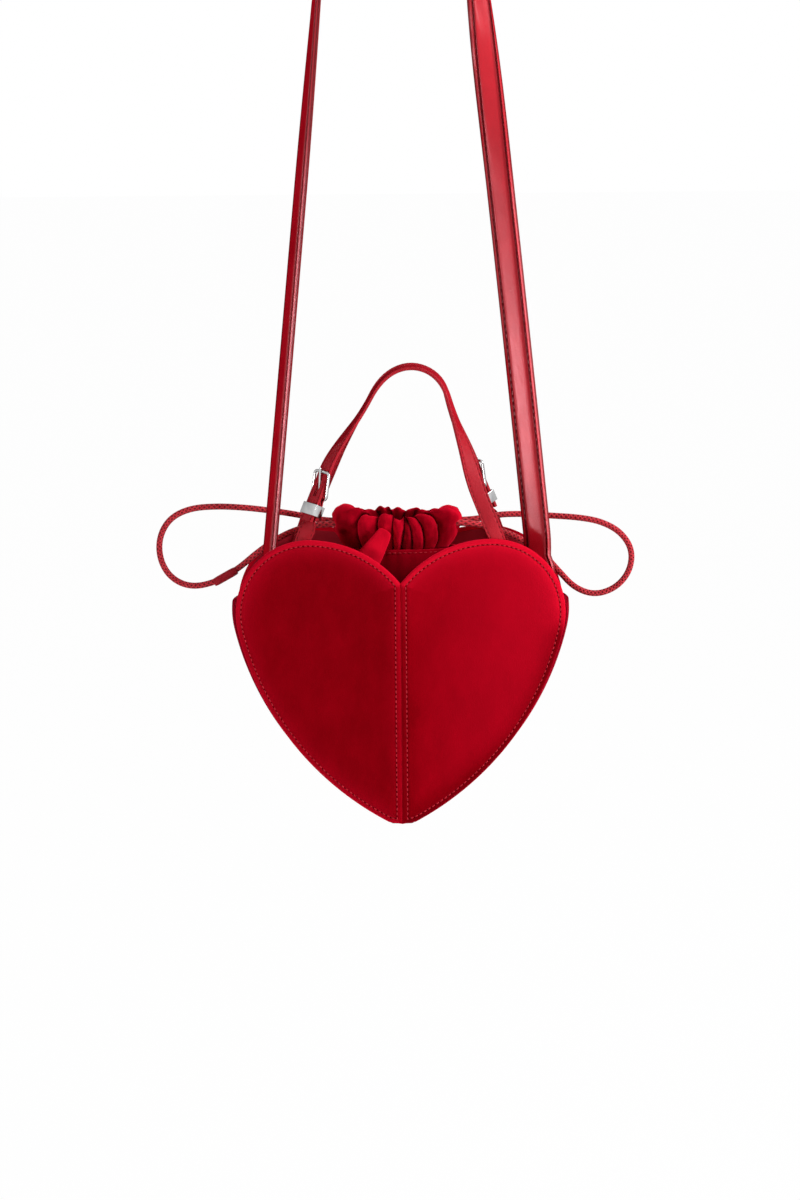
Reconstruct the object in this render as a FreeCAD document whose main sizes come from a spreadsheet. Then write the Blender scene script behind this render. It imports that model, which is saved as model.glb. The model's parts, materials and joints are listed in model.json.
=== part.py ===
import FreeCAD, Part
import math
import os
import Sketcher

# A heart shaped drawstring purse: two stiff velvet hearts with a centre ridge, joined by side gussets,
# a gathered pouch neck between them, two short buckled handles and a long shoulder strap.
# Frame: Z up, front faces -Y, origin under the strap's crown where the purse hangs.
# Heights named h are measured up from the heart's flat tip.

Vec = FreeCAD.Vector

DIMS = {
    # heart outline, seen from the front
    "heart_width": 200.0, "heart_height": 172.5, "lobe_radius": 46.0, "notch_drop": 25.5,
    "flank_start_deg": 13.0, "tip_flat": 12.0,
    # depth and layers of the half panels
    "ridge_deg": 10.0, "side_depth": 54.0, "cover_thick": 1.4, "board_thick": 1.6,
    "lining_thick": 0.8, "stitch_inset": 3.2,
    # side gussets
    "gusset_thick": 1.4, "gusset_lining_thick": 0.8, "gusset_bulge": 3.0, "gusset_rise": 4.5,
    # pouch skirt and gathered collar
    "skirt_foot_drop": 5.0, "skirt_shoulder_rise": 3.0, "skirt_foot_inset": 6.0,
    "skirt_shoulder_inset": 30.0, "skirt_thick": 1.6, "collar_sink": 8.5, "collar_height": 24.0,
    "collar_width": 78.0, "collar_depth": 40.0, "mouth_width": 48.0, "mouth_depth": 18.0,
    "gather_depth": 1.6, "gather_count": 22,
    # drawstring
    "cord_dia": 3.8, "cord_room": 0.4, "tail_start": 26.5, "run_bend_half": 18.0, "run_offset": 13.5,
    "tail_offset": 6.0, "cord_rise": 15.0, "sleeve_dia": 5.8, "sleeve_length": 16.0,
    # short handles
    "handle_width": 10.0, "handle_thick": 2.0, "handle_foot_out": 3.0, "handle_rise": 97.0,
    "handle_crown_radius": 28.0, "handle_lean_deg": 12.0, "handle_hinge_rise": 3.5, "handle_flat": 12.0,
    "tab_thick": 1.6, "tab_drop": 26.5, "billet_thick": 1.6, "twist_start": 2.5, "twist_end": 7.5,
    "buckle_turn_deg": 46.0,
    # buckle, prong and keeper
    "heel_along": 23.0, "bar_dia": 1.8, "buckle_length": 15.5, "buckle_room": 0.7, "buckle_corner": 2.2,
    "eye_wall": 0.9, "eye_room": 0.08, "prong_dia": 1.4, "prong_eye_width": 2.4, "prong_overhang": 1.4,
    "prong_lift_deg": 30.0, "keeper_along": 15.0, "keeper_height": 7.0, "keeper_wall": 0.9,
    "keeper_room": 0.3, "layer_room": 0.2, "slot_room": 0.4,
    # shoulder strap
    "strap_width": 17.0, "strap_thick": 3.0, "strap_hinge_rise": 26.0, "strap_inset": 19.5,
    "strap_lean_deg": 5.53, "strap_arch_radius": 34.0, "strap_turn_deg": 69.5, "strap_turn_length": 12.0,
    "strap_high_turn_deg": 71.0, "strap_right_turn_deg": -12.0, "anchor_thick": 1.6,
    "anchor_foot_drop": 13.0, "anchor_foot_depth": 16.0, "anchor_web_drop": 3.5,
    # clearances
    "fit_gap": 0.3, "overrun": 5.0,
}

doc = FreeCAD.newDocument("HeartPurse")
sheet = doc.addObject("Spreadsheet::Sheet", "Dims")
for row, (alias, value) in enumerate(DIMS.items(), start=1):
    sheet.set("A%d" % row, alias)
    sheet.set("B%d" % row, str(value))
    sheet.setAlias("B%d" % row, alias)
doc.recompute()

nodes = []


def dim(alias):
    return float(sheet.get(alias))


def rad(alias):
    return math.radians(dim(alias))


# Places worked out from the driving dimensions
half_width = dim("heart_width") / 2
lobe_x = half_width - dim("lobe_radius")
lobe_h = dim("heart_height") - dim("lobe_radius")
ridge_tan = math.tan(rad("ridge_deg"))
ridge_cos = math.cos(rad("ridge_deg"))
ridge_y = dim("side_depth") / 2 + half_width * ridge_tan
rim_stack = dim("cover_thick") + dim("board_thick")
full_stack = rim_stack + dim("lining_thick")
gusset_stack = dim("gusset_thick") + dim("gusset_lining_thick")
gusset_top = lobe_h + dim("gusset_rise")
skirt_foot_half = half_width - dim("skirt_foot_inset")
collar_foot = dim("heart_height") - dim("collar_sink")
cord_h = collar_foot + dim("cord_rise")
handle_foot = lobe_x + dim("handle_foot_out")

strap_lean = rad("strap_lean_deg")
arch_radius = dim("strap_arch_radius")
strap_half = half_width - dim("strap_inset")
strap_hinge = gusset_top + dim("strap_hinge_rise")
arch_rise = (strap_half - arch_radius / math.cos(strap_lean)) / math.tan(strap_lean)
tip_z = -(strap_hinge + arch_rise + arch_radius - dim("strap_thick") / 2)


def at(x, y, h):
    return Vec(x, y, tip_z + h)


def panel_y(x, depth):
    """Distance of a front or back panel from the middle plane, at a depth under its outer face."""
    return ridge_y - x * ridge_tan - depth / ridge_cos


def keep(obj, label):
    obj.Label = label
    nodes.append(obj)
    return obj


def solid_feature(label, shape, placement=None):
    obj = doc.addObject("Part::Feature", label)
    obj.Shape = shape
    if placement is not None:
        obj.Placement = placement
    return keep(obj, label)


def mirrored(source, label, normal):
    obj = doc.addObject("Part::Mirroring", label)
    obj.Source = source
    obj.Normal = normal
    obj.Base = Vec(0, 0, 0)
    return keep(obj, label)


def arc_edge(cx, ch, radius, start, end, y=0.0):
    """Arc in a plane that faces the front, from one angle to another (radians)."""
    points = []
    for turn in (start, (start + end) / 2, end):
        points.append(at(cx + radius * math.cos(turn), y, ch + radius * math.sin(turn)))
    return Part.Arc(*points).toShape()


def line_edge(first, second):
    return Part.LineSegment(first, second).toShape()


# Heart outline
def flank_circle():
    """Centre and radius of the arc that is tangent to the lobe and ends at the flat tip."""
    start = rad("flank_start_deg")
    from_tip_x = lobe_x - dim("tip_flat") / 2
    along = lobe_h * math.sin(start) - from_tip_x * math.cos(start)
    lobe_r = dim("lobe_radius")
    reach = (from_tip_x ** 2 + lobe_h ** 2 - lobe_r ** 2) / (2 * (lobe_r - along))
    return lobe_x - reach * math.cos(start), lobe_h + reach * math.sin(start), reach + lobe_r


def flank_edges(inset, top_turn, y=0.0):
    """Lobe side, flank and half the tip, from an angle on the lobe down to the middle line."""
    start = -rad("flank_start_deg")
    flank_x, flank_h, flank_r = flank_circle()
    flank_r -= inset
    lobe_r = dim("lobe_radius") - inset
    foot_x = flank_x + math.sqrt(flank_r ** 2 - (flank_h - inset) ** 2)
    foot_turn = math.atan2(inset - flank_h, foot_x - flank_x)
    return [
        arc_edge(lobe_x, lobe_h, lobe_r, top_turn, start, y),
        arc_edge(flank_x, flank_h, flank_r, start, foot_turn, y),
    ], foot_x


def heart_half_face(inset):
    """Right half of the heart, moved in by inset, as a face on the middle plane."""
    rise = dim("notch_drop")
    notch_r = (lobe_x ** 2 + rise ** 2) / (2 * rise)
    notch_h = dim("heart_height") - notch_r
    notch_r -= inset
    notch_top = notch_h + math.sqrt(notch_r ** 2 - (lobe_x - inset) ** 2)
    notch_turn = math.atan2(notch_top - notch_h, inset - lobe_x)
    edges, foot_x = flank_edges(inset, math.pi / 2)
    edges.insert(0, arc_edge(lobe_x, notch_h, notch_r, notch_turn, math.pi / 2))
    edges.append(line_edge(at(foot_x, 0, inset), at(inset, 0, inset)))
    edges.append(line_edge(at(inset, 0, inset), at(inset, 0, notch_top)))
    return Part.Face(Part.Wire(edges))


# Half panels: a velvet cover with a pocket, a board in the pocket and a lining
def front_prism(name, face):
    outline = doc.addObject("Part::Feature", name + "_outline")
    outline.Shape = face
    prism = doc.addObject("Part::Extrusion", name + "_prism")
    prism.Base = outline
    prism.DirMode = "Custom"
    prism.Dir = Vec(0, -1, 0)
    prism.setExpression("LengthFwd", "Dims.heart_width")
    prism.Solid = True
    return prism


def front_slab(name, depth, thickness):
    """Flat layer of the front right panel, from a depth under its outer face."""
    slab = doc.addObject("Part::Box", name + "_slab")
    slab.setExpression("Length", "Dims.heart_width")
    slab.setExpression("Width", thickness)
    slab.setExpression("Height", "Dims.heart_height + 2 * Dims.overrun")
    turn = FreeCAD.Rotation(Vec(0, 0, 1), dim("ridge_deg"))
    base = turn.multVec(Vec(0, depth, 0)) + at(0, -ridge_y, -dim("overrun"))
    slab.Placement = FreeCAD.Placement(base, turn)
    return slab


def common(name, first, second):
    obj = doc.addObject("Part::Common", name)
    obj.Base = first
    obj.Tool = second
    return obj


def four_fold(source, piece):
    """The front right piece and its three mirror images."""
    keep(source, "front_right_" + piece)
    left = mirrored(source, "front_left_" + piece, Vec(1, 0, 0))
    mirrored(source, "back_right_" + piece, Vec(0, 1, 0))
    mirrored(left, "back_left_" + piece, Vec(0, 1, 0))


def half_panels():
    board = common("board", front_prism("board", heart_half_face(dim("stitch_inset"))),
                   front_slab("board", dim("cover_thick"), "Dims.board_thick"))
    block = common("cover_block", front_prism("cover", heart_half_face(0.0)),
                   front_slab("cover", 0.0, "Dims.cover_thick + Dims.board_thick"))
    cover = doc.addObject("Part::Cut", "cover")
    cover.Base = block
    cover.Tool = board
    lining_inset = gusset_stack + dim("fit_gap")
    lining = common("lining", front_prism("lining", heart_half_face(lining_inset)),
                    front_slab("lining", rim_stack, "Dims.lining_thick"))
    four_fold(cover, "cover")
    four_fold(board, "board")
    four_fold(lining, "lining")


# Gussets: bowed strips between the panels' rims
def gusset_section(y, inset, thickness):
    outer_r = dim("lobe_radius") - inset
    rise = dim("gusset_rise")
    outer, outer_foot = flank_edges(inset, math.asin(rise / outer_r), y)
    inner_inset = inset + thickness
    inner, inner_foot = flank_edges(inner_inset, math.asin(rise / (outer_r - thickness)), y)
    edges = outer + inner
    edges.append(line_edge(outer[0].Vertexes[0].Point, inner[0].Vertexes[0].Point))
    edges.append(line_edge(at(outer_foot, y, inset), at(0, y, inset)))
    edges.append(line_edge(at(0, y, inset), at(0, y, inner_inset)))
    edges.append(line_edge(at(0, y, inner_inset), at(inner_foot, y, inner_inset)))
    return Part.Wire(Part.__sortEdges__(edges))


def between_panels(depth):
    """Prism on the right that fills the room between the panels at a depth under their faces."""
    far = half_width + dim("gusset_bulge") + dim("overrun")
    low = -dim("gusset_bulge") - dim("overrun")
    corners = [at(0, -panel_y(0, depth), low), at(far, -panel_y(far, depth), low),
               at(far, panel_y(far, depth), low), at(0, panel_y(0, depth), low)]
    face = Part.Face(Part.makePolygon(corners + corners[:1]))
    return face.extrude(Vec(0, 0, dim("heart_height") + 2 * dim("overrun") + dim("gusset_bulge")))


BOW_SHARES = ((-1.0, 0.0), (-0.6, 0.0), (-0.3, 0.75), (0.0, 1.0), (0.3, 0.75), (0.6, 0.0), (1.0, 0.0))


def gusset_strip(depth_in, thickness):
    sections = []
    for y_share, bow_share in BOW_SHARES:
        inset = depth_in - bow_share * dim("gusset_bulge")
        sections.append(gusset_section(y_share * ridge_y, inset, thickness))
    return Part.makeLoft(sections, True, True).common(between_panels(rim_stack))


def gussets():
    layers = (("gusset", 0.0, dim("gusset_thick")),
              ("gusset_lining", dim("gusset_thick"), dim("gusset_lining_thick")))
    for piece, depth_in, thickness in layers:
        right = solid_feature("right_" + piece, gusset_strip(depth_in, thickness))
        mirrored(right, "left_" + piece, Vec(1, 0, 0))


# Pouch: a skirt sewn inside the panels and a gathered collar with an open mouth
def hexagon(half_x, side_y, middle_y, h):
    corners = [at(half_x, -side_y, h), at(half_x, side_y, h), at(0, middle_y, h),
               at(-half_x, side_y, h), at(-half_x, -side_y, h), at(0, -middle_y, h)]
    return Part.makePolygon(corners + corners[:1])


def skirt_loft(wall):
    foot_half = skirt_foot_half
    shoulder_half = half_width - dim("skirt_shoulder_inset")
    room = full_stack + dim("fit_gap")
    rim = dim("skirt_thick")
    top_x = (dim("collar_width") + dim("mouth_width")) / 4
    top_y = (dim("collar_depth") + dim("mouth_depth")) / 4
    side_y = dim("collar_depth") / 4
    levels = (
        (foot_half, panel_y(foot_half, room), panel_y(0, room), gusset_top - dim("skirt_foot_drop")),
        (shoulder_half, dim("collar_depth") / 2, (panel_y(0, room) + top_y) / 2,
         gusset_top + dim("skirt_shoulder_rise")),
        (top_x + rim, side_y + rim, top_y + rim, collar_foot),
    )
    wires = [hexagon(x - wall, side - wall, mid - wall, h) for x, side, mid, h in levels]
    return Part.makeLoft(wires, True, True)


def gathered_wire(scale_share, h):
    """Closed ring of small arcs, one for each gather of the casing."""
    count = int(dim("gather_count"))
    half_x = dim("collar_width") / 2 - dim("gather_depth")
    half_y = dim("collar_depth") / 2 - dim("gather_depth")

    def ring_point(turn, out):
        across = half_x * scale_share + out
        deep = half_y * scale_share + out
        return at(across * math.cos(turn), deep * math.sin(turn), h)

    step = 2 * math.pi / count
    edges = []
    for index in range(count):
        turn = index * step
        edges.append(Part.Arc(ring_point(turn, 0.0), ring_point(turn + step / 2, dim("gather_depth")),
                              ring_point(turn + step, 0.0)).toShape())
    return Part.Wire(edges)


COLLAR_SHARES = ((0.0, 0.86), (0.3, 0.98), (0.65, 1.0), (0.9, 0.93), (1.0, 0.82))


def mouth_prism():
    radius = dim("mouth_depth") / 2
    straight = dim("mouth_width") / 2 - radius
    low = collar_foot - dim("overrun")
    height = dim("collar_height") + 2 * dim("overrun")
    box = Part.makeBox(2 * straight, 2 * radius, height, at(-straight, -radius, low))
    for side in (-1, 1):
        box = box.fuse(Part.makeCylinder(radius, height, at(side * straight, 0, low)))
    return box


# Cords: straight runs joined by the largest tangent arcs that fit
RUN_SHARE = 0.45


def rounded_route(points, label):
    edges = []
    radii = []
    start = points[0]
    for before, corner, after in zip(points, points[1:], points[2:]):
        back = before - corner
        ahead = after - corner
        cut = RUN_SHARE * min(back.Length, ahead.Length)
        half_turn = (math.pi - back.getAngle(ahead)) / 2
        radii.append(cut / math.tan(half_turn))
        back.normalize()
        ahead.normalize()
        arc_start = corner + back * cut
        arc_end = corner + ahead * cut
        inward = back + ahead
        inward.normalize()
        sag = radii[-1] / math.cos(half_turn) - radii[-1]
        edges.append(line_edge(start, arc_start))
        edges.append(Part.Arc(arc_start, corner + inward * sag, arc_end).toShape())
        start = arc_end
    edges.append(line_edge(start, points[-1]))
    print(label, "radii", [round(radius, 1) for radius in radii])
    return Part.Wire(edges)


def tube(points, radius, label):
    path = rounded_route(points, label)
    circle = Part.Wire(Part.makeCircle(radius, points[0], points[1] - points[0]))
    solid = path.makePipeShell([circle], True, False)
    print(label, "length", round(path.Length, 1), "volume share",
          round(solid.Volume / (math.pi * radius ** 2 * path.Length), 4))
    return solid


def casing_route(side):
    """Run of the drawstring inside the front (-1) or back (1) of the casing, open at its ends."""
    tail = dim("tail_offset")
    start = dim("tail_start")
    bend = dim("run_bend_half")
    out = dim("run_offset")
    return [at(-start, side * tail, cord_h), at(-bend, side * out, cord_h),
            at(bend, side * out, cord_h), at(start, side * tail, cord_h)]


# Loop routes chosen by hand: x outwards from the middle, y, and height above the casing's cord line
LEFT_LOOP = ((45, 6, 0), (59.5, 17, 2.2), (76, 21.8, 4.4), (94, 21.5, 6.8), (112, 19, 8.2),
             (128.5, 16.5, 7.4), (141, 15, 1.6), (147.6, 14, -9.8), (147.6, 13, -23.2), (141.2, 12.5, -35),
             (129, 12.5, -41), (114, 13, -38.4), (100, 15, -30.6), (86.5, 17.5, -19.4),
             (72.5, 18.4, -10.2), (59, 13.5, -4.4), (45, -6, 0))
RIGHT_LOOP = ((45, 6, 0), (59.5, 16.5, 1.9), (76, 20.5, 1.7), (93, 20, 0.4), (109, 18, -0.4),
              (123.5, 16, -2.8), (135.6, 15, -9.4), (142.6, 14, -20.4), (141, 13, -33.4),
              (132.5, 12.5, -43.6), (119.5, 12.5, -48), (107, 13, -43.6), (97.6, 14, -33.4),
              (87.5, 15.5, -22), (73.5, 16.4, -12.8), (59, 13.5, -6.6), (45, -6, 0))


def loop_points(route, side):
    tail = dim("tail_start") + dim("cord_dia") / 2 + dim("fit_gap")
    inner = (tail, dim("tail_offset"), 0)
    last = (tail, -dim("tail_offset"), 0)
    return [at(side * x, y, cord_h + rise) for x, y, rise in (inner,) + route + (last,)]


def pouch():
    skirt = skirt_loft(0.0).cut(skirt_loft(dim("skirt_thick")))
    solid_feature("pouch_skirt", skirt)

    sections = []
    for height_share, scale_share in COLLAR_SHARES:
        h = collar_foot + height_share * dim("collar_height")
        sections.append(gathered_wire(scale_share, h))
    collar = Part.makeLoft(sections, True, True).cut(mouth_prism())
    cord_r = dim("cord_dia") / 2
    bore = cord_r + dim("cord_room")
    for side, name in ((-1, "front"), (1, "back")):
        collar = collar.cut(tube(casing_route(side), bore, name + " casing"))
        solid_feature("drawstring_%s_run" % name, tube(casing_route(side), cord_r, name + " run"))
        for end in (-1, 1):
            inner = at(end * dim("tail_start"), side * dim("tail_offset"), cord_h)
            inner.x -= end * bore
            collar = collar.cut(Part.makeCylinder(bore, dim("collar_width"), inner, Vec(end, 0, 0)))
    solid_feature("pouch_collar", collar)

    for side, name, route in ((-1, "left", LEFT_LOOP), (1, "right", RIGHT_LOOP)):
        solid_feature("drawstring_%s_loop" % name, tube(loop_points(route, side), cord_r, name + " loop"))


SLEEVE_RUN = 12


def join_sleeve():
    """Wrapped join over the two cord ends, on a straight run of the left loop's lower strand."""
    first, second = loop_points(LEFT_LOOP, -1)[SLEEVE_RUN:SLEEVE_RUN + 2]
    along = second - first
    along.normalize()
    length = dim("sleeve_length")
    base = (first + second) / 2 - along * (length / 2)
    sleeve = Part.makeCylinder(dim("sleeve_dia") / 2, length, base, along)
    bore = Part.makeCylinder(dim("cord_dia") / 2, length, base, along)
    solid_feature("join_sleeve", sleeve.cut(bore))


# Straps: sections across a straight leg that leans inwards, turned about the leg
FRONT = Vec(0, -1, 0)


class Leg:
    """Straight strap leg in a plane that faces the front: foot, lean and side (-1 left, 1 right)."""

    def __init__(self, foot, lean, side):
        self.foot = foot
        self.lean = lean
        self.up = Vec(-side * math.sin(lean), 0, math.cos(lean))
        self.out = Vec(side * math.cos(lean), 0, math.sin(lean))
        self.across = Vec(side, 0, 0)

    def face_normal(self, turn):
        return self.out * math.sin(turn) + FRONT * math.cos(turn)

    def width_axis(self, turn):
        return self.out * math.cos(turn) - FRONT * math.sin(turn)

    def point(self, along, turn=0.0, lift=0.0):
        return self.foot + self.up * along + self.face_normal(turn) * lift

    def section(self, profile, along, turn, lift=0.0):
        """Closed wire of profile points (across, out) at a distance along the leg."""
        origin = self.point(along, turn, lift)
        width = self.width_axis(turn)
        normal = self.face_normal(turn)
        corners = [origin + width * across + normal * out for across, out in profile]
        return Part.makePolygon(corners + corners[:1])

    def level_section(self, profile):
        """The lowest section, cut level at the foot."""
        stretch = 1 / math.cos(self.lean)
        corners = [self.foot + self.across * (across * stretch) + FRONT * out for across, out in profile]
        return Part.makePolygon(corners + corners[:1])

    def knuckle(self, width, thickness):
        """Rounded end of the strap about the level hinge line."""
        length = width / math.cos(self.lean)
        start = self.foot - Vec(length / 2, 0, 0)
        return Part.makeCylinder(thickness / 2, length, start, Vec(1, 0, 0))

    def turned_box(self, low, high, along, turn):
        """Box between two corners (across, out, up) in the turned leg's own axes."""
        width = self.width_axis(turn)
        normal = self.face_normal(turn)
        origin = self.point(along)
        base = [(low[0], low[1]), (high[0], low[1]), (high[0], high[1]), (low[0], high[1])]
        corners = [origin + width * a + normal * o + self.up * low[2] for a, o in base]
        return Part.Face(Part.makePolygon(corners + corners[:1])).extrude(self.up * (high[2] - low[2]))


def flat_profile(width, thickness):
    return [(-width / 2, -thickness / 2), (width / 2, -thickness / 2),
            (width / 2, thickness / 2), (-width / 2, thickness / 2)]


def leg_loft(leg, profile, stations):
    return Part.makeLoft([leg.section(profile, *station) for station in stations], True, True)


def crown_arc(centre, radius, profile, lean):
    """Top bend of a strap, from one leg's tangent point over to the other's."""
    start = centre + Vec(math.cos(lean), 0, math.sin(lean)) * radius
    out = Vec(math.cos(lean), 0, math.sin(lean))
    corners = [start + out * o + Vec(0, 1, 0) * a for a, o in profile]
    face = Part.Face(Part.makePolygon(corners + corners[:1]))
    return face.revolve(centre, Vec(0, -1, 0), math.degrees(math.pi - 2 * lean))


def tangent_leg(foot_half, centre_rise, radius):
    """Lean and length of a leg from its foot to the point where it meets the crown's circle."""
    reach = math.hypot(foot_half, centre_rise)
    lean = math.atan2(foot_half, centre_rise) - math.asin(radius / reach)
    return lean, math.sqrt(reach ** 2 - radius ** 2)


# Short handles, built about their own hinge line and then leaned and placed
handle_w = dim("handle_width")
handle_t = dim("handle_thick")
bar_r = dim("bar_dia") / 2
eye_r = bar_r + dim("eye_room") + dim("eye_wall")
strap_lift = eye_r + dim("layer_room") + handle_t / 2
handle_lean, handle_leg_length = tangent_leg(handle_foot, dim("handle_rise") - dim("handle_crown_radius"),
                                             dim("handle_crown_radius"))
plain_leg = Leg(Vec(handle_foot, 0, 0), handle_lean, 1)
buckle_leg = Leg(Vec(-handle_foot, 0, 0), handle_lean, -1)
buckle_turn = rad("buckle_turn_deg")
QUARTER = math.pi / 2
TWIST_SHARES = (0.0, 0.12, 0.3, 0.5, 0.7, 0.88, 1.0)


def eased(share):
    """Smooth step from 0 to 1."""
    return share * share * (3 - 2 * share)


def handle_strap_shape():
    profile = flat_profile(handle_w, handle_t)
    flat = dim("handle_flat")
    stations = []
    for share in TWIST_SHARES:
        along = flat + share * (handle_leg_length - flat)
        stations.append((along, eased(share) * QUARTER))
    sections = [plain_leg.level_section(profile)]
    sections += [plain_leg.section(profile, *station) for station in stations]
    plain = Part.makeLoft(sections, True, True).fuse(plain_leg.knuckle(handle_w, handle_t))

    free = dim("heel_along") + dim("buckle_length") + dim("bar_dia")
    stations = [(dim("twist_end"), buckle_turn, strap_lift)]
    for share in TWIST_SHARES:
        along = free + share * (handle_leg_length - free)
        turn = buckle_turn + eased(share) * (QUARTER - buckle_turn)
        stations.append((along, turn, strap_lift * (1 - eased(share))))
    buckled = leg_loft(buckle_leg, profile, stations).cut(prong_slot())
    centre = Vec(0, 0, dim("handle_rise") - dim("handle_crown_radius"))
    crown = crown_arc(centre, dim("handle_crown_radius"), profile, handle_lean)
    return plain.fuse([crown, buckled])


def prong_angle():
    """Height of the frame's top bar over the heel bar, and the prong's angle when it rests on that bar."""
    top_out = strap_lift + handle_t / 2 + dim("layer_room") + bar_r
    reach = math.hypot(top_out, dim("buckle_length"))
    clear = bar_r + dim("prong_dia") / 2 + dim("eye_room")
    return top_out, math.atan2(top_out, dim("buckle_length")) + math.asin(clear / reach)


def prong_slot():
    """Opening in the strap that lets the prong through, at rest and lifted."""
    half = dim("prong_eye_width") / 2
    low_out = strap_lift - handle_t / 2
    high_out = strap_lift + handle_t / 2
    top_out, rest = prong_angle()
    lifted = rest + rad("prong_lift_deg")
    rod = dim("prong_dia") / 2
    low = low_out / math.tan(lifted) - rod / math.sin(lifted) - dim("slot_room")
    high = high_out / math.tan(rest) + rod / math.sin(rest) + dim("slot_room")
    return buckle_leg.turned_box((-half, low_out - handle_t, low), (half, high_out + handle_t, high),
                                 dim("heel_along"), buckle_turn)


def billet_shape():
    """Leather end that rises from the hinge line and folds round the buckle's heel bar."""
    thick = dim("billet_thick")
    profile = flat_profile(handle_w, thick)
    heel = dim("heel_along")
    sections = [buckle_leg.level_section(profile), buckle_leg.section(profile, dim("twist_start"), 0.0),
                buckle_leg.section(profile, dim("twist_end"), buckle_turn)]
    billet = Part.makeLoft(sections, True, True).fuse(buckle_leg.knuckle(handle_w, thick))
    neck = handle_w / 2 - dim("buckle_corner") + dim("buckle_room")
    strip = buckle_leg.turned_box((-handle_w / 2, -thick / 2, dim("twist_end") - heel),
                                  (handle_w / 2, thick / 2, -2 * eye_r), heel, buckle_turn)
    tongue = buckle_leg.turned_box((-neck, -thick / 2, -2 * eye_r), (neck, thick / 2, 0), heel, buckle_turn)
    width = buckle_leg.width_axis(buckle_turn)
    centre = buckle_leg.point(heel)
    eye = Part.makeCylinder(eye_r, 2 * neck, centre - width * neck, width)
    bore = Part.makeCylinder(bar_r + dim("eye_room"), 2 * handle_w, centre - width * handle_w, width)
    half = dim("prong_eye_width") / 2 + dim("fit_gap")
    notch = buckle_leg.turned_box((-half, -2 * eye_r, -eye_r - dim("fit_gap")),
                                  (half, 2 * eye_r, 2 * eye_r), heel, buckle_turn)
    return billet.fuse([strip, tongue, eye]).cut(bore).cut(notch)


def buckle_frame_shape():
    """Round bar bent to a rounded rectangle, tipped so the strap passes over the heel and under the top."""
    top_out, rest = prong_angle()
    centre = buckle_leg.point(dim("heel_along"))
    width = buckle_leg.width_axis(buckle_turn)
    rise = buckle_leg.up * dim("buckle_length") + buckle_leg.face_normal(buckle_turn) * top_out
    length = rise.Length
    rise.normalize()
    half = handle_w / 2 + dim("buckle_room") + bar_r
    corner = dim("buckle_corner")
    inner = corner * (1 - math.sqrt(0.5))

    def spot(across, along):
        return centre + width * across + rise * along

    edges = []
    start = spot(0, 0)
    for side, low, high in ((1, 0.0, length), (-1, length, 0.0)):
        step = corner if high > low else -corner
        nudge = inner if high > low else -inner
        edges += [
            line_edge(start, spot(side * (half - corner), low)),
            Part.Arc(spot(side * (half - corner), low), spot(side * (half - inner), low + nudge),
                     spot(side * half, low + step)).toShape(),
            line_edge(spot(side * half, low + step), spot(side * half, high - step)),
            Part.Arc(spot(side * half, high - step), spot(side * (half - inner), high - nudge),
                     spot(side * (half - corner), high)).toShape(),
        ]
        start = spot(side * (half - corner), high)
    edges.append(line_edge(start, spot(0, 0)))
    circle = Part.Wire(Part.makeCircle(bar_r, spot(0, 0), width))
    return Part.Wire(edges).makePipeShell([circle], True, False)


def prong_shape():
    """Rod with an eye about the heel bar that rests on the frame's top bar."""
    top_out, rest = prong_angle()
    centre = buckle_leg.point(dim("heel_along"))
    width = buckle_leg.width_axis(buckle_turn)
    half = dim("prong_eye_width") / 2
    along = buckle_leg.up * math.cos(rest) + buckle_leg.face_normal(buckle_turn) * math.sin(rest)
    start = bar_r + dim("eye_room") + dim("eye_wall") / 2
    length = dim("buckle_length") / math.cos(rest) + dim("prong_overhang") - start
    rod = Part.makeCylinder(dim("prong_dia") / 2, length, centre + along * start, along)
    tip = Part.makeSphere(dim("prong_dia") / 2, centre + along * (start + length))
    eye = Part.makeCylinder(eye_r, 2 * half, centre - width * half, width)
    bore = Part.makeCylinder(bar_r + dim("eye_room"), 2 * half, centre - width * half, width)
    return eye.fuse([rod, tip]).cut(bore)


def keeper_body(label, placement):
    """Box shaped metal loop about the billet and the strap's tail."""
    body = doc.addObject("PartDesign::Body", label)
    sketch = body.newObject("Sketcher::SketchObject", label + "_sketch")
    plane = [item for item in body.Origin.OriginFeatures if item.Role == "XY_Plane"][0]
    sketch.AttachmentSupport = (plane, [""])
    sketch.MapMode = "FlatFace"
    inside_w = "(Dims.handle_width + 2 * Dims.keeper_room)"
    inside_d = "(%r + 2 * Dims.keeper_room)" % keeper_stack()
    outside_w = inside_w + " + 2 * Dims.keeper_wall"
    outside_d = inside_d + " + 2 * Dims.keeper_wall"
    for wide, deep in ((outside_w, outside_d), (inside_w, inside_d)):
        centred_rectangle(sketch, wide, deep)
    pad = body.newObject("PartDesign::Pad", label + "_pad")
    pad.Profile = sketch
    pad.setExpression("Length", "Dims.keeper_height")
    pad.Midplane = True
    body.Placement = placement
    return keep(body, label)


def keeper_stack():
    return dim("billet_thick") / 2 + strap_lift + handle_t / 2


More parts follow.
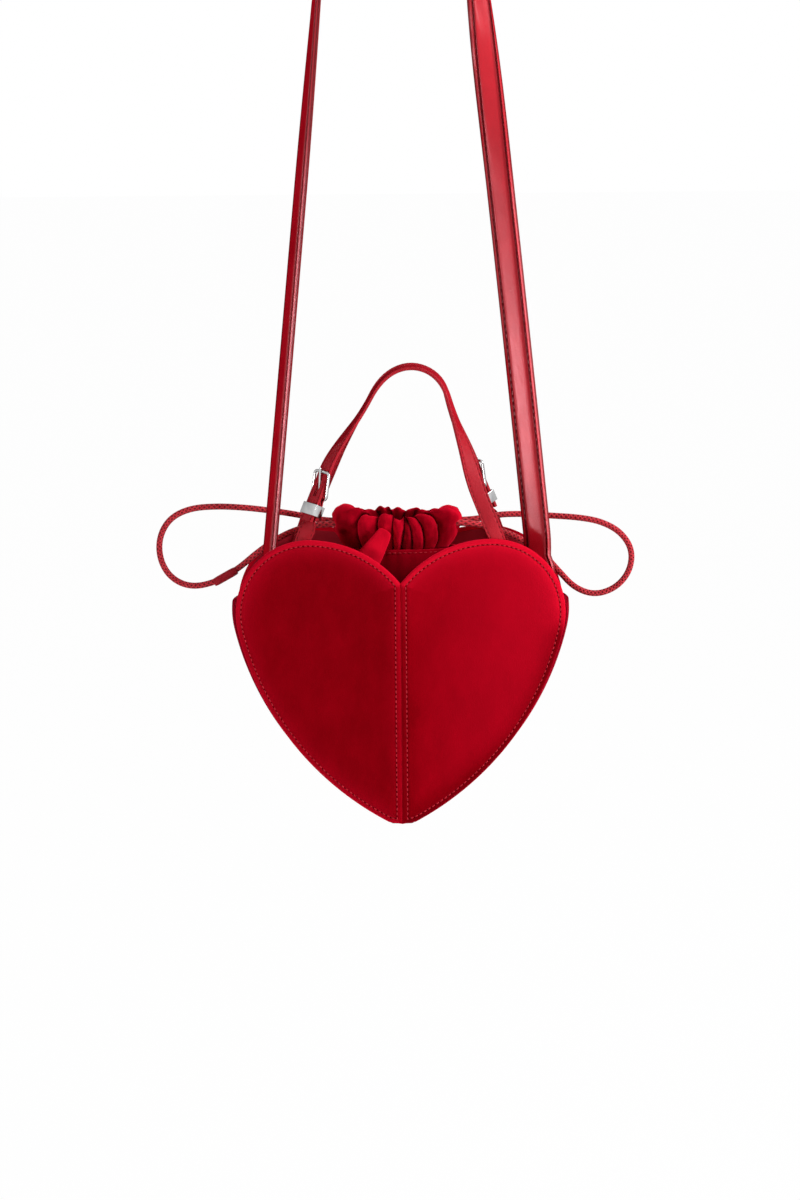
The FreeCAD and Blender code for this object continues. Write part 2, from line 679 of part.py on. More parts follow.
def centred_rectangle(sketch, wide, deep):
    """Four lines about the sketch's origin, sized by two expressions."""
    first = sketch.GeometryCount
    unit = [Vec(-1, -1, 0), Vec(1, -1, 0), Vec(1, 1, 0), Vec(-1, 1, 0)]
    for index in range(4):
        sketch.addGeometry(Part.LineSegment(unit[index] * handle_w, unit[(index + 1) % 4] * handle_w), False)
    for index in range(4):
        sketch.addConstraint(Sketcher.Constraint("Coincident", first + index, 2, first + (index + 1) % 4, 1))
        kind = "Vertical" if index % 2 else "Horizontal"
        sketch.addConstraint(Sketcher.Constraint(kind, first + index))
    sketch.addConstraint(Sketcher.Constraint("Symmetric", first, 1, first + 1, 2, -1, 1))
    across = sketch.addConstraint(Sketcher.Constraint("DistanceX", first, 1, first, 2, 2 * handle_w))
    up = sketch.addConstraint(Sketcher.Constraint("DistanceY", first + 1, 1, first + 1, 2, 2 * handle_w))
    sketch.setExpression("Constraints[%d]" % across, wide)
    sketch.setExpression("Constraints[%d]" % up, deep)


def handle_hinge():
    """Place of the front handle's hinge line: on the sewn tabs, just above the lobes."""
    depth = full_stack + dim("tab_thick") / 2
    return at(0, -panel_y(handle_foot, depth), dim("heart_height") + dim("handle_hinge_rise"))


def handles():
    lean = FreeCAD.Placement(handle_hinge(), FreeCAD.Rotation(Vec(1, 0, 0), -dim("handle_lean_deg")))
    about = FreeCAD.Placement(Vec(0, 0, 0), FreeCAD.Rotation(Vec(0, 0, 1), 180))
    middle = (strap_lift + handle_t / 2 - dim("billet_thick") / 2) / 2
    width = buckle_leg.width_axis(buckle_turn)
    normal = buckle_leg.face_normal(buckle_turn)
    axes = FreeCAD.Matrix(width.x, normal.x, -buckle_leg.up.x, 0, width.y, normal.y, -buckle_leg.up.y, 0,
                          width.z, normal.z, -buckle_leg.up.z, 0, 0, 0, 0, 1)
    keeper_place = FreeCAD.Placement(axes)
    keeper_place.Base = buckle_leg.point(dim("keeper_along")) + normal * middle
    for name, place in (("front", lean), ("back", about.multiply(lean))):
        solid_feature(name + "_handle_strap", handle_strap_shape(), place)
        solid_feature(name + "_buckle_billet", billet_shape(), place)
        solid_feature(name + "_buckle_frame", buckle_frame_shape(), place)
        solid_feature(name + "_buckle_prong", prong_shape(), place)
        keeper_body(name + "_keeper", place.multiply(keeper_place))


def handle_tabs():
    """Leather tabs sewn to the linings, which hold the handles' ends at the lobes."""
    foot = handle_foot
    low = dim("heart_height") - dim("tab_drop")
    top = dim("heart_height") + dim("handle_hinge_rise") - handle_t / 2 - dim("fit_gap")
    low_x = foot + (top - low) * math.tan(handle_lean)
    half = handle_w / 2 / math.cos(handle_lean)
    corners = [at(foot - half, 0, top), at(foot + half, 0, top),
               at(low_x + half, 0, low), at(low_x - half, 0, low)]
    face = Part.Face(Part.makePolygon(corners + corners[:1]))
    tab = common("handle_tab", front_prism("handle_tab", face),
                 front_slab("handle_tab", full_stack, "Dims.tab_thick"))
    four_fold(tab, "handle_tab")


# Shoulder strap: two long legs and an arch, padded along the middle
STRAP_SHARES = ((-0.5, -0.5), (0.5, -0.5), (0.5, 0.1), (0.36, 0.1),
                (0.3, 0.5), (-0.3, 0.5), (-0.36, 0.1), (-0.5, 0.1))
HIGH_SHARE = 0.45


def shoulder_strap():
    width = dim("strap_width")
    thick = dim("strap_thick")
    profile = [(across * width, out * thick) for across, out in STRAP_SHARES]
    length = arch_rise / math.cos(strap_lean) + arch_radius * math.tan(strap_lean)
    right = Leg(at(strap_half, 0, strap_hinge), strap_lean, 1)
    left = Leg(at(-strap_half, 0, strap_hinge), strap_lean, -1)
    right_turn = rad("strap_right_turn_deg")
    legs = ((right, right_turn, right_turn), (left, rad("strap_turn_deg"), rad("strap_high_turn_deg")))
    high = HIGH_SHARE * length

    solids = []
    for leg, low_turn, top_turn in legs:
        sections = [leg.level_section(profile)]
        for share in TWIST_SHARES[1:]:
            sections.append(leg.section(profile, share * dim("strap_turn_length"), eased(share) * low_turn))
        for share in TWIST_SHARES:
            along = high + share * (length - high)
            sections.append(leg.section(profile, along, top_turn + eased(share) * (QUARTER - top_turn)))
        solids.append(Part.makeLoft(sections, True, True).fuse(leg.knuckle(width, thick)))
    arch = crown_arc(at(0, 0, strap_hinge + arch_rise), arch_radius, profile, strap_lean)
    solid_feature("shoulder_strap", arch.fuse(solids))


ANCHOR_BOW_SHARE = 0.8


def strap_anchors():
    """Folded leather tabs: a foot sewn on the gusset and a web that meets the strap's end."""
    thick = dim("anchor_thick")
    inner = dim("lobe_radius") + ANCHOR_BOW_SHARE * dim("gusset_bulge") - gusset_stack
    low = gusset_top - dim("anchor_foot_drop")
    wall_x = lobe_x + math.sqrt(inner ** 2 - (lobe_h - low) ** 2) - dim("fit_gap")
    top = strap_hinge - dim("strap_thick") / 2 - dim("fit_gap")
    half = dim("strap_width") / 2 / math.cos(strap_lean)
    near = strap_half - half
    far = strap_half + half
    foot = Part.makeBox(thick, dim("anchor_foot_depth"), dim("anchor_foot_drop"),
                        at(wall_x - thick, -dim("anchor_foot_depth") / 2, low))
    web_low = gusset_top - dim("anchor_web_drop")
    corners = [at(wall_x, -thick / 2, web_low), at(wall_x, -thick / 2, gusset_top),
               at(far, -thick / 2, top), at(near, -thick / 2, top),
               at(near, -thick / 2, top - thick), at(skirt_foot_half, -thick / 2, web_low)]
    web = Part.Face(Part.makePolygon(corners + corners[:1])).extrude(Vec(0, thick, 0))
    right = solid_feature("right_strap_anchor", foot.fuse(web))
    mirrored(right, "left_strap_anchor", Vec(1, 0, 0))


half_panels()
gussets()
pouch()
join_sleeve()
handle_tabs()
handles()
shoulder_strap()
strap_anchors()
doc.recompute()

for obj in doc.Objects:
    if "Invalid" in obj.State or "Error" in obj.State:
        raise RuntimeError("%s failed: %s" % (obj.Label, obj.State))
for obj in nodes:
    if obj.Shape.isNull() or not obj.Shape.isValid():
        raise RuntimeError("%s has no valid shape" % obj.Label)
    print(obj.Label, len(obj.Shape.Solids), round(obj.Shape.Volume, 1))

os.makedirs("parts", exist_ok=True)
for obj in nodes:
    obj.Shape.exportStep("parts/%s.step" % obj.Label)
print(len(nodes), "nodes, tip at", round(tip_z, 2))
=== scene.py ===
# %% [markdown]
# # A heart shaped velvet purse
# The purse hangs from its long shoulder strap. Two stiff velvet hearts, each folded along a ridge, hold a soft
# pouch with a gathered neck. A cord draws the neck shut, and two short buckled handles stand up in front of it.
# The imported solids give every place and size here, and each cell dresses one piece of the purse.

# %% Load the frame
import json
import math

import bpy
from mathutils import Matrix, Vector, noise


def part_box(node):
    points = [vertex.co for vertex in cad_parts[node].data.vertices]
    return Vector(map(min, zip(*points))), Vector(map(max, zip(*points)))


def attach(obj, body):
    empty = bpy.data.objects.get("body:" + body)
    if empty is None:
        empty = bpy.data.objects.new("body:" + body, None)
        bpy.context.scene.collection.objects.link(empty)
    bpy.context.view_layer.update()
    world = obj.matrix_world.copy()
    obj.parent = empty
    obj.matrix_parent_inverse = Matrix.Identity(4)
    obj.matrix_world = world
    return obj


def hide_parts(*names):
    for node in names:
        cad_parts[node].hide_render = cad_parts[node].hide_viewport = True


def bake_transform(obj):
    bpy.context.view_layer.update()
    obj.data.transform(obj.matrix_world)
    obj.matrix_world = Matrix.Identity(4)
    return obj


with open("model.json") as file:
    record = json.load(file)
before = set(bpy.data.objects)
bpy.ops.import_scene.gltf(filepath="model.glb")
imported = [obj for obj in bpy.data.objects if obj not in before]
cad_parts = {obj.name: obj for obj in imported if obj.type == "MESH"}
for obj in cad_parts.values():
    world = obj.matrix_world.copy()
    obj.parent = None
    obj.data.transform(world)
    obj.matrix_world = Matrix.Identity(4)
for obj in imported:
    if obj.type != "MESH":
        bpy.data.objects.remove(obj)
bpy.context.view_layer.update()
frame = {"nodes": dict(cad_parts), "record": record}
nodes = frame["nodes"]

# %% [markdown]
# ## Driving sizes
# A few sizes carry the whole purse. The heart's width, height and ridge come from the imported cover, and the
# arcs of its outline from the radii that the pattern cutter would use. Heights are measured up from the tip.

# %% Sizes of the heart
MM = 0.001
cover_low, cover_high = (Vector(corner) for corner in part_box("front_right_cover"))
TIP = cover_low.z
HEART_H = cover_high.z - TIP
HALF_W = cover_high.x
RIDGE_Y = -cover_low.y
RIDGE_TAN = math.tan(math.radians(10))
RIDGE_COS = math.cos(math.radians(10))
LOBE_R = 46 * MM
LOBE_X = HALF_W - LOBE_R
LOBE_H = HEART_H - LOBE_R
NOTCH_DROP = 25.5 * MM
FLANK_START = math.radians(13)
TIP_HALF = 6 * MM
STITCH_INSET = 3.2 * MM
COVER_STACK = 3 * MM
QUARTER = math.pi / 2


def at(x, y, h):
    """Point of the purse from a height above the tip."""
    return Vector((x, y, TIP + h))


def panel_y(x, depth=0.0):
    """Distance of a panel from the middle plane, at a depth under its outer face."""
    return RIDGE_Y - abs(x) * RIDGE_TAN - depth / RIDGE_COS


def limited(share):
    return min(1, max(0, share))


def eased(share):
    """A share from 0 to 1 with a soft start and end."""
    return share * share * (3 - 2 * share)


print("heart %.1f x %.1f mm, ridge %.1f mm out" % (2 * HALF_W / MM, HEART_H / MM, RIDGE_Y / MM))

# %% [markdown]
# ## Stage, light and camera
# The photograph has a plain white ground, so the floor and the world read as white to the camera and to
# reflections, and only a part of the floor's look is lit, which keeps a faint shadow. The key light is a large
# soft panel on the right, because the right half of the heart is clearly brighter than the left one.

# %% Node helpers
def add_node(tree, kind, **settings):
    """New shader node; each setting is one of its properties or else the value of an input."""
    node = tree.nodes.new("ShaderNode" + kind)
    for label, value in settings.items():
        if hasattr(node, label):
            setattr(node, label, value)
        else:
            node.inputs[label.replace("_", " ")].default_value = value
    return node


def wire(tree, *links):
    """Joins sockets; a link is (node, output, node, input)."""
    for source, output, target, socket in links:
        tree.links.new(source.outputs[output], target.inputs[socket])


# %% Floor and world
FLOOR_DROP = 0.26
FLOOR_GLOW = 0.985
WHITE = (1, 1, 1, 1)


def show_white(owner, output, lit_kind, white_kind, white_share, **lit_settings):
    """Shows white to rays that see the ground itself, from the camera, a mirror or through something clear, and
    a lit shader to all others."""
    owner.use_nodes = True
    tree = owner.node_tree
    tree.nodes.clear()
    lit = add_node(tree, lit_kind, **lit_settings)
    white = add_node(tree, white_kind, Color=WHITE, Strength=1.0)
    path = add_node(tree, "LightPath")
    seen, either = (add_node(tree, "Math", operation="MAXIMUM") for _ in range(2))
    share = add_node(tree, "Math", operation="MULTIPLY")
    share.inputs[1].default_value = white_share
    mix, out = add_node(tree, "MixShader"), add_node(tree, output)
    wire(tree, (path, "Is Camera Ray", seen, 0), (path, "Is Glossy Ray", seen, 1), (seen, 0, either, 0),
         (path, "Is Transmission Ray", either, 1), (either, 0, share, 0), (share, 0, mix, 0), (lit, 0, mix, 1),
         (white, 0, mix, 2), (mix, 0, out, "Surface"))


bpy.ops.object.select_all(action="DESELECT")
bpy.ops.mesh.primitive_plane_add(size=24, location=(0, 0, TIP - FLOOR_DROP))
floor = bpy.context.object
floor.name = "floor"
ground = bpy.data.materials.new("white_ground")
show_white(ground, "OutputMaterial", "BsdfDiffuse", "Emission", FLOOR_GLOW, Color=(0.85, 0.85, 0.85, 1))
floor.data.materials.append(ground)

world = bpy.data.worlds.new("soft_room")
bpy.context.scene.world = world
show_white(world, "OutputWorld", "Background", "Background", 1.0, Color=(1.0, 0.98, 0.97, 1), Strength=0.1)
bpy.context.scene.view_settings.view_transform = "Standard"
print("floor %.2f m under the tip" % FLOOR_DROP)

# %% Lights and camera
# The frame's middle and height were measured on the photograph against the heart's 200 mm width.
FRAME_MIDDLE = at(-0.3 * MM, 0, 130.8 * MM)
FRAME_HEIGHT = 0.7335
CAMERA_AWAY = 2.6
CAMERA_LIFT = math.radians(8.5)
CAMERA_ROLL = math.radians(-0.5)
SENSOR = 36.0


def soft_panel(name, turn, lift, away, width, height, power):
    """Panel of light that faces the purse, from a turn to the right of the camera and a lift above level."""
    turn, lift = math.radians(turn), math.radians(lift)
    toward = Vector((math.sin(turn) * math.cos(lift), -math.cos(turn) * math.cos(lift), math.sin(lift)))
    bpy.ops.object.light_add(type="AREA", location=FRAME_MIDDLE + toward * away)
    lamp = bpy.context.object
    lamp.name = name
    lamp.data.shape = "RECTANGLE"
    lamp.data.size = width
    lamp.data.size_y = height
    lamp.data.energy = power
    lamp.rotation_euler = toward.to_track_quat("Z", "Y").to_euler()


soft_panel("key_right", 68, 34, 2.2, 1.0, 1.0, 46)
soft_panel("strap_gloss_low", -23, -5.6, 2.4, 0.42, 0.18, 4.7)
soft_panel("strap_gloss_left", -48, 4.3, 2.4, 0.3, 0.5, 13)
soft_panel("strap_gloss_right", 54, 1.5, 2.4, 0.5, 0.6, 8)
soft_panel("rim_back", 160, 44, 2.2, 1.2, 1.2, 12)

from_camera = Vector((0, -math.cos(CAMERA_LIFT), math.sin(CAMERA_LIFT)))
bpy.ops.object.camera_add(location=FRAME_MIDDLE + from_camera * CAMERA_AWAY)
camera = bpy.context.object
level = Matrix.Rotation(QUARTER - CAMERA_LIFT, 3, "X")
camera.rotation_euler = (level @ Matrix.Rotation(CAMERA_ROLL, 3, "Z")).to_euler()
camera.data.sensor_width = SENSOR
camera.data.lens = SENSOR * CAMERA_AWAY / FRAME_HEIGHT
bpy.context.scene.camera = camera
print("lens %.0f mm" % camera.data.lens)

# %% [markdown]
# ## Finishes
# Four effects are node groups with their own inputs: a slow drift between two tones, a fine leather grain, the
# short pile of velvet and the braid of the cord. The first three read object coordinates, so they stay put on a
# piece. The shaders stay in the materials themselves.

# %% Shared node groups
COLOUR, NUMBER = "NodeSocketColor", "NodeSocketFloat"


def new_group(name, inputs, outputs):
    """Node group with named sockets, and its input and output nodes."""
    group = bpy.data.node_groups.new(name, "ShaderNodeTree")
    for label, kind, value in inputs:
        group.interface.new_socket(label, in_out="INPUT", socket_type=kind).default_value = value
    for label, kind in outputs:
        group.interface.new_socket(label, in_out="OUTPUT", socket_type=kind)
    return group, group.nodes.new("NodeGroupInput"), group.nodes.new("NodeGroupOutput")


def scaled_coordinates(group, entry, stretch):
    """Node that gives object coordinates times the group's Scale, stretched along the axes."""
    spot, mapping = add_node(group, "TexCoord"), add_node(group, "Mapping", Scale=stretch)
    times = add_node(group, "VectorMath", operation="SCALE")
    wire(group, (spot, "Object", mapping, "Vector"), (mapping, 0, times, 0), (entry, "Scale", times, "Scale"))
    return times


tone_drift, entry, leave = new_group(
    "tone_drift", [("Deep", COLOUR, (0, 0, 0, 1)), ("Bright", COLOUR, WHITE), ("Scale", NUMBER, 20.0)],
    [("Colour", COLOUR)])
cloud = add_node(tone_drift, "TexNoise", Scale=1.0, Detail=4.0, Roughness=0.6)
spread = add_node(tone_drift, "MapRange", From_Min=0.32, From_Max=0.68)
tones = add_node(tone_drift, "Mix", data_type="RGBA")
wire(tone_drift, (scaled_coordinates(tone_drift, entry, (1, 1, 0.6)), 0, cloud, "Vector"),
     (cloud, "Fac", spread, "Value"), (spread, 0, tones, "Factor"), (entry, "Deep", tones, "A"),
     (entry, "Bright", tones, "B"), (tones, "Result", leave, "Colour"))

leather_grain, entry, leave = new_group("leather_grain", [("Scale", NUMBER, 900.0)],
                                        [("Height", NUMBER), ("Crease", NUMBER)])
pebbles = add_node(leather_grain, "TexVoronoi", feature="DISTANCE_TO_EDGE", Scale=1.0)
crease = add_node(leather_grain, "MapRange", From_Min=0.0, From_Max=0.22)
wire(leather_grain, (scaled_coordinates(leather_grain, entry, (1, 1, 1)), 0, pebbles, "Vector"),
     (pebbles, "Distance", crease, "Value"), (crease, 0, leave, "Height"), (crease, 0, leave, "Crease"))

velvet_pile, entry, leave = new_group("velvet_pile", [("Scale", NUMBER, 1500.0)],
                                      [("Height", NUMBER), ("Nap", NUMBER)])
fibres = add_node(velvet_pile, "TexNoise", Scale=1.0, Detail=3.0, Roughness=0.7)
brushed = add_node(velvet_pile, "TexNoise", Scale=0.06, Detail=3.0, Roughness=0.55, Distortion=0.4)
painted_light_and_nap = add_node(velvet_pile, "MapRange", From_Min=0.36, From_Max=0.64)
pile_spot = scaled_coordinates(velvet_pile, entry, (1, 1, 0.45))
wire(velvet_pile, (pile_spot, 0, fibres, "Vector"), (pile_spot, 0, brushed, "Vector"),
     (fibres, "Fac", leave, "Height"), (brushed, "Fac", painted_light_and_nap, "Value"), (painted_light_and_nap, 0, leave, "Nap"))

# A braid reads the curve's own coordinates, which run along it and round it once.
cord_braid, entry, leave = new_group("cord_braid", [("Round", NUMBER, 4.0), ("Along", NUMBER, 92.0)],
                                     [("Height", NUMBER)])
axes = add_node(cord_braid, "SeparateXYZ")
upper = add_node(cord_braid, "Math", operation="MAXIMUM")
turns, steps = (add_node(cord_braid, "Math", operation="MULTIPLY") for _ in range(2))
wire(cord_braid, (add_node(cord_braid, "UVMap"), "UV", axes, 0), (axes, "Y", turns, 0),
     (entry, "Round", turns, 1), (axes, "X", steps, 0), (entry, "Along", steps, 1), (upper, 0, leave, "Height"))
for k, way in enumerate(("ADD", "SUBTRACT")):
    slope, full, wave = (add_node(cord_braid, "Math", operation=step) for step in (way, "MULTIPLY", "SINE"))
    full.inputs[1].default_value = 2 * math.pi
    wire(cord_braid, (turns, 0, slope, 0), (steps, 0, slope, 1), (slope, 0, full, 0), (full, 0, wave, 0),
         (wave, 0, upper, k))
print("groups:", [group.name for group in bpy.data.node_groups])

# %% Material helpers
def start_material(name, deep, bright, drift, **sockets):
    """Principled material whose colour drifts between two tones; plain values go on its own sockets."""
    material = bpy.data.materials.new(name)
    material.use_nodes = True
    tree = material.node_tree
    shader = tree.nodes["Principled BSDF"]
    for label, value in sockets.items():
        shader.inputs[label.replace("_", " ")].default_value = value
    tone = add_node(tree, "Group", node_tree=tone_drift, Deep=(*deep, 1), Bright=(*bright, 1), Scale=drift)
    wire(tree, (tone, "Colour", shader, "Base Color"))
    return material, tree, shader, tone


def multiplied(tree, colour, output, factor, share=1.0):
    """Mix node that multiplies a colour by a factor node's value."""
    mix = add_node(tree, "Mix", data_type="RGBA", blend_type="MULTIPLY", Factor=share)
    wire(tree, (colour, output, mix, "A"), (factor, 0, mix, "B"))
    return mix


def blended(tree, colour, factor, target):
    """Mix node that goes from another mix to a target colour."""
    mix = add_node(tree, "Mix", data_type="RGBA", B=target)
    wire(tree, (factor, 0, mix, "Factor"), (colour, "Result", mix, "A"))
    return mix


def add_bump(tree, shader, relief, distance, strength):
    bump = add_node(tree, "Bump", Strength=strength, Distance=distance)
    wire(tree, (relief, "Height", bump, "Height"), (bump, "Normal", shader, "Normal"))


def paint_light_and_shade(piece, value):
    """Writes a piece's painted light and shade value at each of its points; some pieces add random tone to it."""
    painted_light_and_nap = piece.data.attributes.new("painted_light_and_nap", "FLOAT", "POINT")
    for vertex, slot in zip(piece.data.vertices, painted_light_and_nap.data):
        slot.value = value(vertex.co)


# %% Kinds of material
BRUSHED_SHARE = 0.17
PAINTED_HIGHLIGHT_RED, PAINTED_SHEEN_RED = (0.68, 0.004, 0.022, 1), (0.85, 0.007, 0.032, 1)


def velvet(name, deep, bright, rim=0.85, painted_right_light=0.0):
    """Short pile: a dark base, a red sheen at grazing angles that is partly painted into the base colour, and
    brushed patches. Where a piece's painted light value is above 0 the colour goes to a painted highlight red, and
    below 0 it is darkened as painted shade in a fold. A painted gradient of light brightens it to the right."""
    material, tree, shader, tone = start_material(
        name, deep, bright, 55.0, Roughness=1.0, Sheen_Weight=0.8, Sheen_Roughness=0.3,
        Sheen_Tint=(1.0, 0.02, 0.07, 1), Specular_IOR_Level=0.0)
    pile = add_node(tree, "Group", node_tree=velvet_pile)
    grey = add_node(tree, "MapRange", To_Min=0.6, To_Max=1.3)
    # The piece's painted light value: above 0 a painted highlight, below 0 painted shade.
    lean = add_node(tree, "Attribute", attribute_name="painted_light_and_nap")
    spot, parts = add_node(tree, "TexCoord"), add_node(tree, "SeparateXYZ")
    # Painted light: brighter towards the right, on the key light's side.
    right = add_node(tree, "MapRange", From_Min=0.0, From_Max=HALF_W, To_Max=painted_right_light)
    lifted = add_node(tree, "Math", operation="ADD", use_clamp=True)
    # Painted sheen: the base colour brightens towards grazing angles.
    slant = add_node(tree, "LayerWeight", Blend=0.5)
    ends = add_node(tree, "MapRange", From_Min=0.14, From_Max=0.85, To_Max=rim)
    painted_shade = add_node(tree, "MapRange", From_Min=-1.0, From_Max=0.0, To_Min=0.12, To_Max=1.0)
    wire(tree, (pile, "Nap", grey, "Value"), (spot, "Object", parts, 0), (parts, "X", right, "Value"),
         (lean, "Fac", lifted, 0), (right, 0, lifted, 1), (slant, "Facing", ends, "Value"),
         (lean, "Fac", painted_shade, "Value"))
    patches = multiplied(tree, tone, "Colour", grey, BRUSHED_SHARE)
    lighter = blended(tree, blended(tree, patches, lifted, PAINTED_HIGHLIGHT_RED), ends, PAINTED_SHEEN_RED)
    folded = multiplied(tree, lighter, "Result", painted_shade)
    wire(tree, (folded, "Result", shader, "Base Color"))
    add_bump(tree, shader, pile, 0.25 * MM, 0.5)
    return material


def leather(name, deep, bright, grain, depth, **sockets):
    """Dyed hide: fine pebbles that are smoother on top. Where a piece's painted light value is below 0 its colour
    and gloss are darkened: painted shade in stitch grooves, and on cut edges dark edge paint with painted shade.
    """
    material, tree, shader, tone = start_material(name, deep, bright, 60.0, **sockets)
    rough, shine = sockets["Roughness"], sockets["Specular_IOR_Level"]
    hide = add_node(tree, "Group", node_tree=leather_grain, Scale=grain)
    dull = add_node(tree, "MapRange", To_Min=rough + 0.16, To_Max=rough)
    edge_on = add_node(tree, "LayerWeight", Blend=0.5)
    gloss = add_node(tree, "MapRange", From_Min=0.2, From_Max=0.55, To_Min=shine, To_Max=0.0)
    # The piece's painted light value: below 0 painted shade in grooves, and darker cut edges.
    lean = add_node(tree, "Attribute", attribute_name="painted_light_and_nap")
    painted_shade = add_node(tree, "MapRange", From_Min=-1.0, From_Max=0.0, To_Min=0.35, To_Max=1.0)
    matt = add_node(tree, "Math", operation="MULTIPLY")
    sunk = multiplied(tree, tone, "Colour", painted_shade)
    wire(tree, (hide, "Crease", dull, "Value"), (dull, 0, shader, "Roughness"),
         (edge_on, "Facing", gloss, "Value"), (lean, "Fac", painted_shade, "Value"),
         (sunk, "Result", shader, "Base Color"), (gloss, 0, matt, 0), (painted_shade, 0, matt, 1),
         (matt, 0, shader, "Specular IOR Level"))
    add_bump(tree, shader, hide, depth, 0.6)
    return material


def thread(name, deep, bright):
    """Polyester thread: fine fibres on a satin red."""
    material, tree, shader, _ = start_material(name, deep, bright, 300.0, Roughness=0.6, Sheen_Weight=0.2,
                                               Sheen_Tint=(1.0, 0.2, 0.25, 1), Specular_IOR_Level=0.1)
    pile = add_node(tree, "Group", node_tree=velvet_pile, Scale=2600.0)
    add_bump(tree, shader, pile, 0.2 * MM, 0.6)
    return material


# %% Materials
SATIN = {"Specular_IOR_Level": 0.4, "Specular_Tint": (1.0, 0.4, 0.45, 1)}
red_velvet = velvet("red_velvet", (0.25, 0.0004, 0.004), (0.305, 0.0005, 0.0055), painted_right_light=0.5)
# The pouch's velvet is the same cloth with a brighter base and more grazing brightening, as painted sheen on the
# gathers; the gussets' copy is darker with almost none, as painted shade.
sheen_lit_pouch_velvet = velvet("sheen_lit_pouch_velvet", (0.28, 0.0005, 0.007), (0.38, 0.0008, 0.011), rim=0.95)
shaded_gusset_velvet = velvet("shaded_gusset_velvet", (0.16, 0.0003, 0.004), (0.22, 0.0005, 0.007), rim=0.1)
handle_leather = leather("handle_leather", (0.36, 0.006, 0.014), (0.48, 0.012, 0.024), 1500.0, 0.12 * MM,
                         Roughness=0.42, **SATIN)
strap_leather = leather("strap_leather", (0.48, 0.004, 0.013), (0.60, 0.007, 0.019), 1300.0, 0.006 * MM,
                        Roughness=0.13, Specular_IOR_Level=0.7, Specular_Tint=(1.0, 0.5, 0.55, 1))
red_lining = leather("red_lining", (0.34, 0.008, 0.02), (0.42, 0.012, 0.028), 1100.0, 0.06 * MM,
                     Roughness=0.45, **SATIN)
stitch_thread = thread("stitch_thread", (0.44, 0.009, 0.020), (0.56, 0.020, 0.034))
leather_thread = thread("leather_thread", (0.12, 0.002, 0.006), (0.20, 0.005, 0.010))
sleeve_thread = thread("sleeve_thread", (0.36, 0.010, 0.020), (0.52, 0.026, 0.040))

cord_weave, tree, shader, tone = start_material(
    "cord_weave", (0.54, 0.018, 0.032), (0.70, 0.040, 0.056), 300.0, Roughness=0.55, Sheen_Weight=0.3,
    Sheen_Tint=(1.0, 0.3, 0.35, 1), Specular_IOR_Level=0.15)
braid = add_node(tree, "Group", node_tree=cord_braid)
# Painted shade: the colour darkens in the gaps between the braid's strands.
braid_gap_shade = add_node(tree, "MapRange", From_Min=-0.3, From_Max=0.5, To_Min=0.3, To_Max=1.0)
wire(tree, (braid, "Height", braid_gap_shade, "Value"),
     (multiplied(tree, tone, "Colour", braid_gap_shade), "Result", shader, "Base Color"))
add_bump(tree, shader, braid, 0.3 * MM, 0.8)

silver, tree, shader, tone = start_material("silver_metal", (0.50, 0.50, 0.51), (0.66, 0.66, 0.66), 240.0,
                                            Metallic=1.0, Roughness=0.12)
# Painted reflection: the metal's colour darkens towards grazing angles, for dark edges round its faces.
rounding = add_node(tree, "LayerWeight", Blend=0.5)
painted_dark_rim = add_node(tree, "MapRange", From_Min=0.2, From_Max=0.7, To_Min=1.0, To_Max=0.06)
wire(tree, (rounding, "Facing", painted_dark_rim, "Value"),
     (multiplied(tree, tone, "Colour", painted_dark_rim), "Result", shader, "Base Color"))
board = start_material("stiffener_board", (0.42, 0.34, 0.25), (0.54, 0.46, 0.35), 180.0, Roughness=0.9)[0]
FINISH = {"red_velvet": red_velvet, "red_lining": red_lining, "stiffener_board": board, "red_cord": cord_weave,
          "handle_leather": handle_leather, "strap_leather": strap_leather, "silver_metal": silver}
for subpart in frame["record"]["subparts"]:
    mesh = nodes[subpart["node"]].data
    mesh.materials.clear()
    mesh.materials.append(FINISH[subpart["material_slot"]])
print(len(bpy.data.materials), "materials")

# %% [markdown]
# ## The drawstring
# One closed woven cord draws the neck shut. It leaves the collar as a loop on each side, and its two ends meet
# under a wrapped sleeve on the left loop. A NURBS curve with the route's points as its control points gives the
# easy line of limp cord, and a round bevel gives its thickness. Routes run outwards from the middle of the purse,
# with heights above the cord's line in the casing.

# %% Cord loops
run_low, run_high = (Vector(corner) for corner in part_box("drawstring_front_run"))
CORD_Z = (run_low.z + run_high.z) / 2
CORD_D = run_high.z - run_low.z
LEFT_LOOP = [
    (0.0287, 0.006, 0), (0.045, 0.006, 0), (0.0595, 0.017, 0.0022), (0.076, 0.0218, 0.0044),
    (0.094, 0.0215, 0.0068), (0.112, 0.019, 0.0082), (0.1285, 0.0165, 0.0074), (0.141, 0.015, 0.0016),
    (0.1476, 0.014, -0.0098), (0.1476, 0.013, -0.0232), (0.1412, 0.0125, -0.035), (0.129, 0.0125, -0.041),
    (0.114, 0.013, -0.0384), (0.1, 0.015, -0.0306), (0.0865, 0.0175, -0.0194), (0.0725, 0.0184, -0.0102),
    (0.059, 0.0135, -0.0044), (0.045, -0.006, 0), (0.0287, -0.006, 0)]
RIGHT_LOOP = [
    (0.0287, 0.006, 0), (0.045, 0.006, 0), (0.0595, 0.0165, 0.0019), (0.076, 0.0205, 0.0017),
    (0.093, 0.02, 0.0004), (0.109, 0.018, -0.0004), (0.1235, 0.016, -0.0028), (0.1356, 0.015, -0.0094),
    (0.1426, 0.014, -0.0204), (0.141, 0.013, -0.0334), (0.1325, 0.0125, -0.0436), (0.1195, 0.0125, -0.048),
    (0.107, 0.013, -0.0436), (0.0976, 0.014, -0.0334), (0.0875, 0.0155, -0.022), (0.0735, 0.0164, -0.0128),
    (0.059, 0.0135, -0.0066), (0.045, -0.006, 0), (0.0287, -0.006, 0)]


